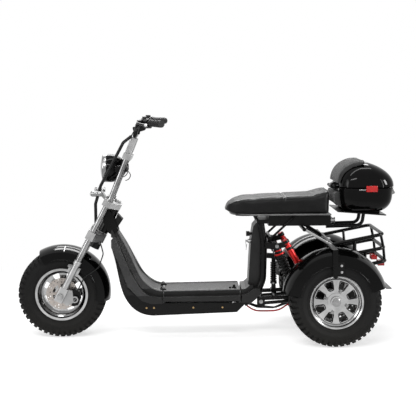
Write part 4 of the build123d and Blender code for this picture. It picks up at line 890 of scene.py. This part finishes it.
# %% Handlebar details
RIB_COUNT, RIB_START, RIB_STEP = 12, 0.004, 0.0092
bar_mid_x = Vector(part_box("handlebar")[1]).x - 0.011
bar_mid_z = Vector(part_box("handlebar")[0]).z + 0.011
bar_end = Vector((bar_mid_x - 0.141, 0.350, bar_mid_z + 0.068))
bar_knee = Vector((bar_mid_x - 0.024, 0.138, bar_mid_z + 0.075))
along = (bar_knee - bar_end).normalized()
for way, side_name in ((1, "left"), (-1, "right")):
    ribs = bmesh.new()
    for step in range(RIB_COUNT):
        at = bar_end + along * (RIB_START + step * RIB_STEP)
        add_ring(ribs, Vector((at.x, way * at.y, at.z)), Vector((along.x, way * along.y, along.z)),
                 [(0, 0.0165), (0.0006, 0.0177), (0.0056, 0.0177), (0.0062, 0.0165)], 32)
    close_piece("grip_ribs_" + side_name, ribs, "grip_rubber", "fork")
side_way = UP.cross(along).normalized()
ball = bar_end + side_way * 0.058 + along.cross(side_way) * -0.008 + along * 0.046
balls = bmesh.new()
for way in (1, -1):
    bmesh.ops.create_icosphere(balls, subdivisions=3, radius=0.0086,
                               matrix=Matrix.Translation((ball.x, way * ball.y, ball.z)))
close_piece("lever_balls", balls, "polished_alloy", "fork")
glass = bmesh.new()
add_block(glass, Vector((bar_mid_x - 0.022, 0, bar_mid_z + 0.052)), (0.05, 0.062, 0.004), -10, 0.001)
close_piece("display_glass", glass, "dark_glass", "fork")
signal_high = Vector(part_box("turn_signals")[1])
lenses = bmesh.new()
for way in (1, -1):
    lens_at = Vector((signal_high.x - 0.006, way * 0.118, signal_high.z - 0.014))
    add_disc(lenses, lens_at, AHEAD, 0.0115, 0.006, 28, 0.0075)
close_piece("signal_lenses", lenses, "clear_lens", "fork")
print("handlebar dressed, bar middle", round(bar_mid_x, 3), round(bar_mid_z, 3))

# %% [markdown]
# The studio is plain: a floor that looks white to the camera and in reflections yet still takes the shadow of
# the wheels, a few soft lamps, and a white world. The floor fades from a lit surface near the vehicle into an
# evenly white one further out, so no horizon shows. Long narrow lamps give gloss black its crisp lines, and
# the broader gloss lamps are seen only in shiny surfaces.

# %% Floor
def ray_switch(tree):
    """One for camera, glossy and transmission rays, otherwise nought."""
    path = tree.nodes.new("ShaderNodeLightPath")
    seen = path.outputs["Is Camera Ray"]
    for label in ("Is Glossy Ray", "Is Transmission Ray"):
        either = tree.nodes.new("ShaderNodeMath")
        either.operation = "MAXIMUM"
        tree.links.new(seen, either.inputs[0])
        tree.links.new(path.outputs[label], either.inputs[1])
        seen = either.outputs["Value"]
    return seen


FLOOR_HALF, FADE_FROM, FADE_TO, FLOOR_LIFT = 14.0, 1.2, 2.4, 0.6
bm = bmesh.new()
bmesh.ops.create_grid(bm, x_segments=2, y_segments=2, size=FLOOR_HALF)
bmesh.ops.translate(bm, vec=(0, 0, -0.0005), verts=bm.verts)
mesh = bpy.data.meshes.new("floor")
bm.to_mesh(mesh)
bm.free()
floor = bpy.data.objects.new("floor", mesh)
bpy.context.scene.collection.objects.link(floor)
paint = bpy.data.materials.new("floor_white")
paint.use_nodes = True
tree = paint.node_tree
shader = tree.nodes["Principled BSDF"]
shader.inputs["Base Color"].default_value = (0.8, 0.8, 0.8, 1)
shader.inputs["Roughness"].default_value = 0.9
shader.inputs["Specular IOR Level"].default_value = 0.1
shader.inputs["Emission Color"].default_value = (1, 1, 1, 1)
glow = tree.nodes.new("ShaderNodeEmission")
lift = tree.nodes.new("ShaderNodeMath")
lift.operation = "MULTIPLY"
lift.inputs[1].default_value = FLOOR_LIFT
coords = tree.nodes.new("ShaderNodeTexCoord")
reach = tree.nodes.new("ShaderNodeVectorMath")
reach.operation = "LENGTH"
fade = tree.nodes.new("ShaderNodeMapRange")
fade.inputs["From Min"].default_value = FADE_FROM
fade.inputs["From Max"].default_value = FADE_TO
gate = tree.nodes.new("ShaderNodeMath")
gate.operation = "MULTIPLY"
blend = tree.nodes.new("ShaderNodeMixShader")
seen = ray_switch(tree)
tree.links.new(seen, lift.inputs[0])
tree.links.new(lift.outputs["Value"], shader.inputs["Emission Strength"])
tree.links.new(coords.outputs["Object"], reach.inputs[0])
tree.links.new(reach.outputs["Value"], fade.inputs["Value"])
tree.links.new(fade.outputs["Result"], gate.inputs[0])
tree.links.new(seen, gate.inputs[1])
tree.links.new(gate.outputs["Value"], blend.inputs["Fac"])
tree.links.new(shader.outputs["BSDF"], blend.inputs[1])
tree.links.new(glow.outputs["Emission"], blend.inputs[2])
tree.links.new(blend.outputs["Shader"], tree.nodes["Material Output"].inputs["Surface"])
mesh.materials.append(paint)
print("floor half size", FLOOR_HALF)


# %% Lamps and world
def softbox(name, at, to, size, power, gloss_only=False):
    """A rectangular lamp that faces a point; a gloss lamp is only seen in shiny surfaces."""
    lamp = bpy.data.lights.new(name, "AREA")
    lamp.shape = "RECTANGLE"
    lamp.size, lamp.size_y = size
    lamp.energy = power
    holder = bpy.data.objects.new(name, lamp)
    holder.location = at
    holder.rotation_mode = "QUATERNION"
    holder.rotation_quaternion = (Vector(at) - Vector(to)).to_track_quat("Z", "Y")
    holder.visible_diffuse = not gloss_only
    bpy.context.scene.collection.objects.link(holder)


softbox("key", (0.9, 3.2, 3.0), (0, 0, 0.5), (2.8, 0.18), 62)
softbox("fill", (-2.6, 3.0, 1.5), (-0.4, 0, 0.5), (0.2, 1.9), 26)
softbox("front", (3.2, 2.2, 1.6), (0.4, 0, 0.5), (0.9, 1.7), 26)
softbox("top", (-0.1, 0.2, 3.6), (0, 0, 0.4), (3.4, 0.24), 40)
softbox("far", (0.4, -3.4, 2.6), (0, 0, 0.5), (2.4, 0.3), 24)
softbox("gloss_front", (3.2, 1.5, 2.0), (0.2, 0, 0.5), (1.2, 1.8), 20, gloss_only=True)
softbox("gloss_rear", (-3.6, 1.9, 1.9), (-0.6, 0, 0.5), (0.8, 1.3), 200, gloss_only=True)
softbox("gloss_back", (0.0, -2.3, 3.1), (0, 0, 0.5), (3.4, 0.5), 100, gloss_only=True)
world = bpy.data.worlds.new("studio")
bpy.context.scene.world = world
world.use_nodes = True
tree = world.node_tree
back = tree.nodes["Background"]
back.inputs["Color"].default_value = (1, 1, 1, 1)
power = tree.nodes.new("ShaderNodeMapRange")
power.inputs["To Min"].default_value = 0.35
power.inputs["To Max"].default_value = 1.0
tree.links.new(ray_switch(tree), power.inputs["Value"])
tree.links.new(power.outputs["Result"], back.inputs["Strength"])
print("lamps", len(bpy.data.lights))
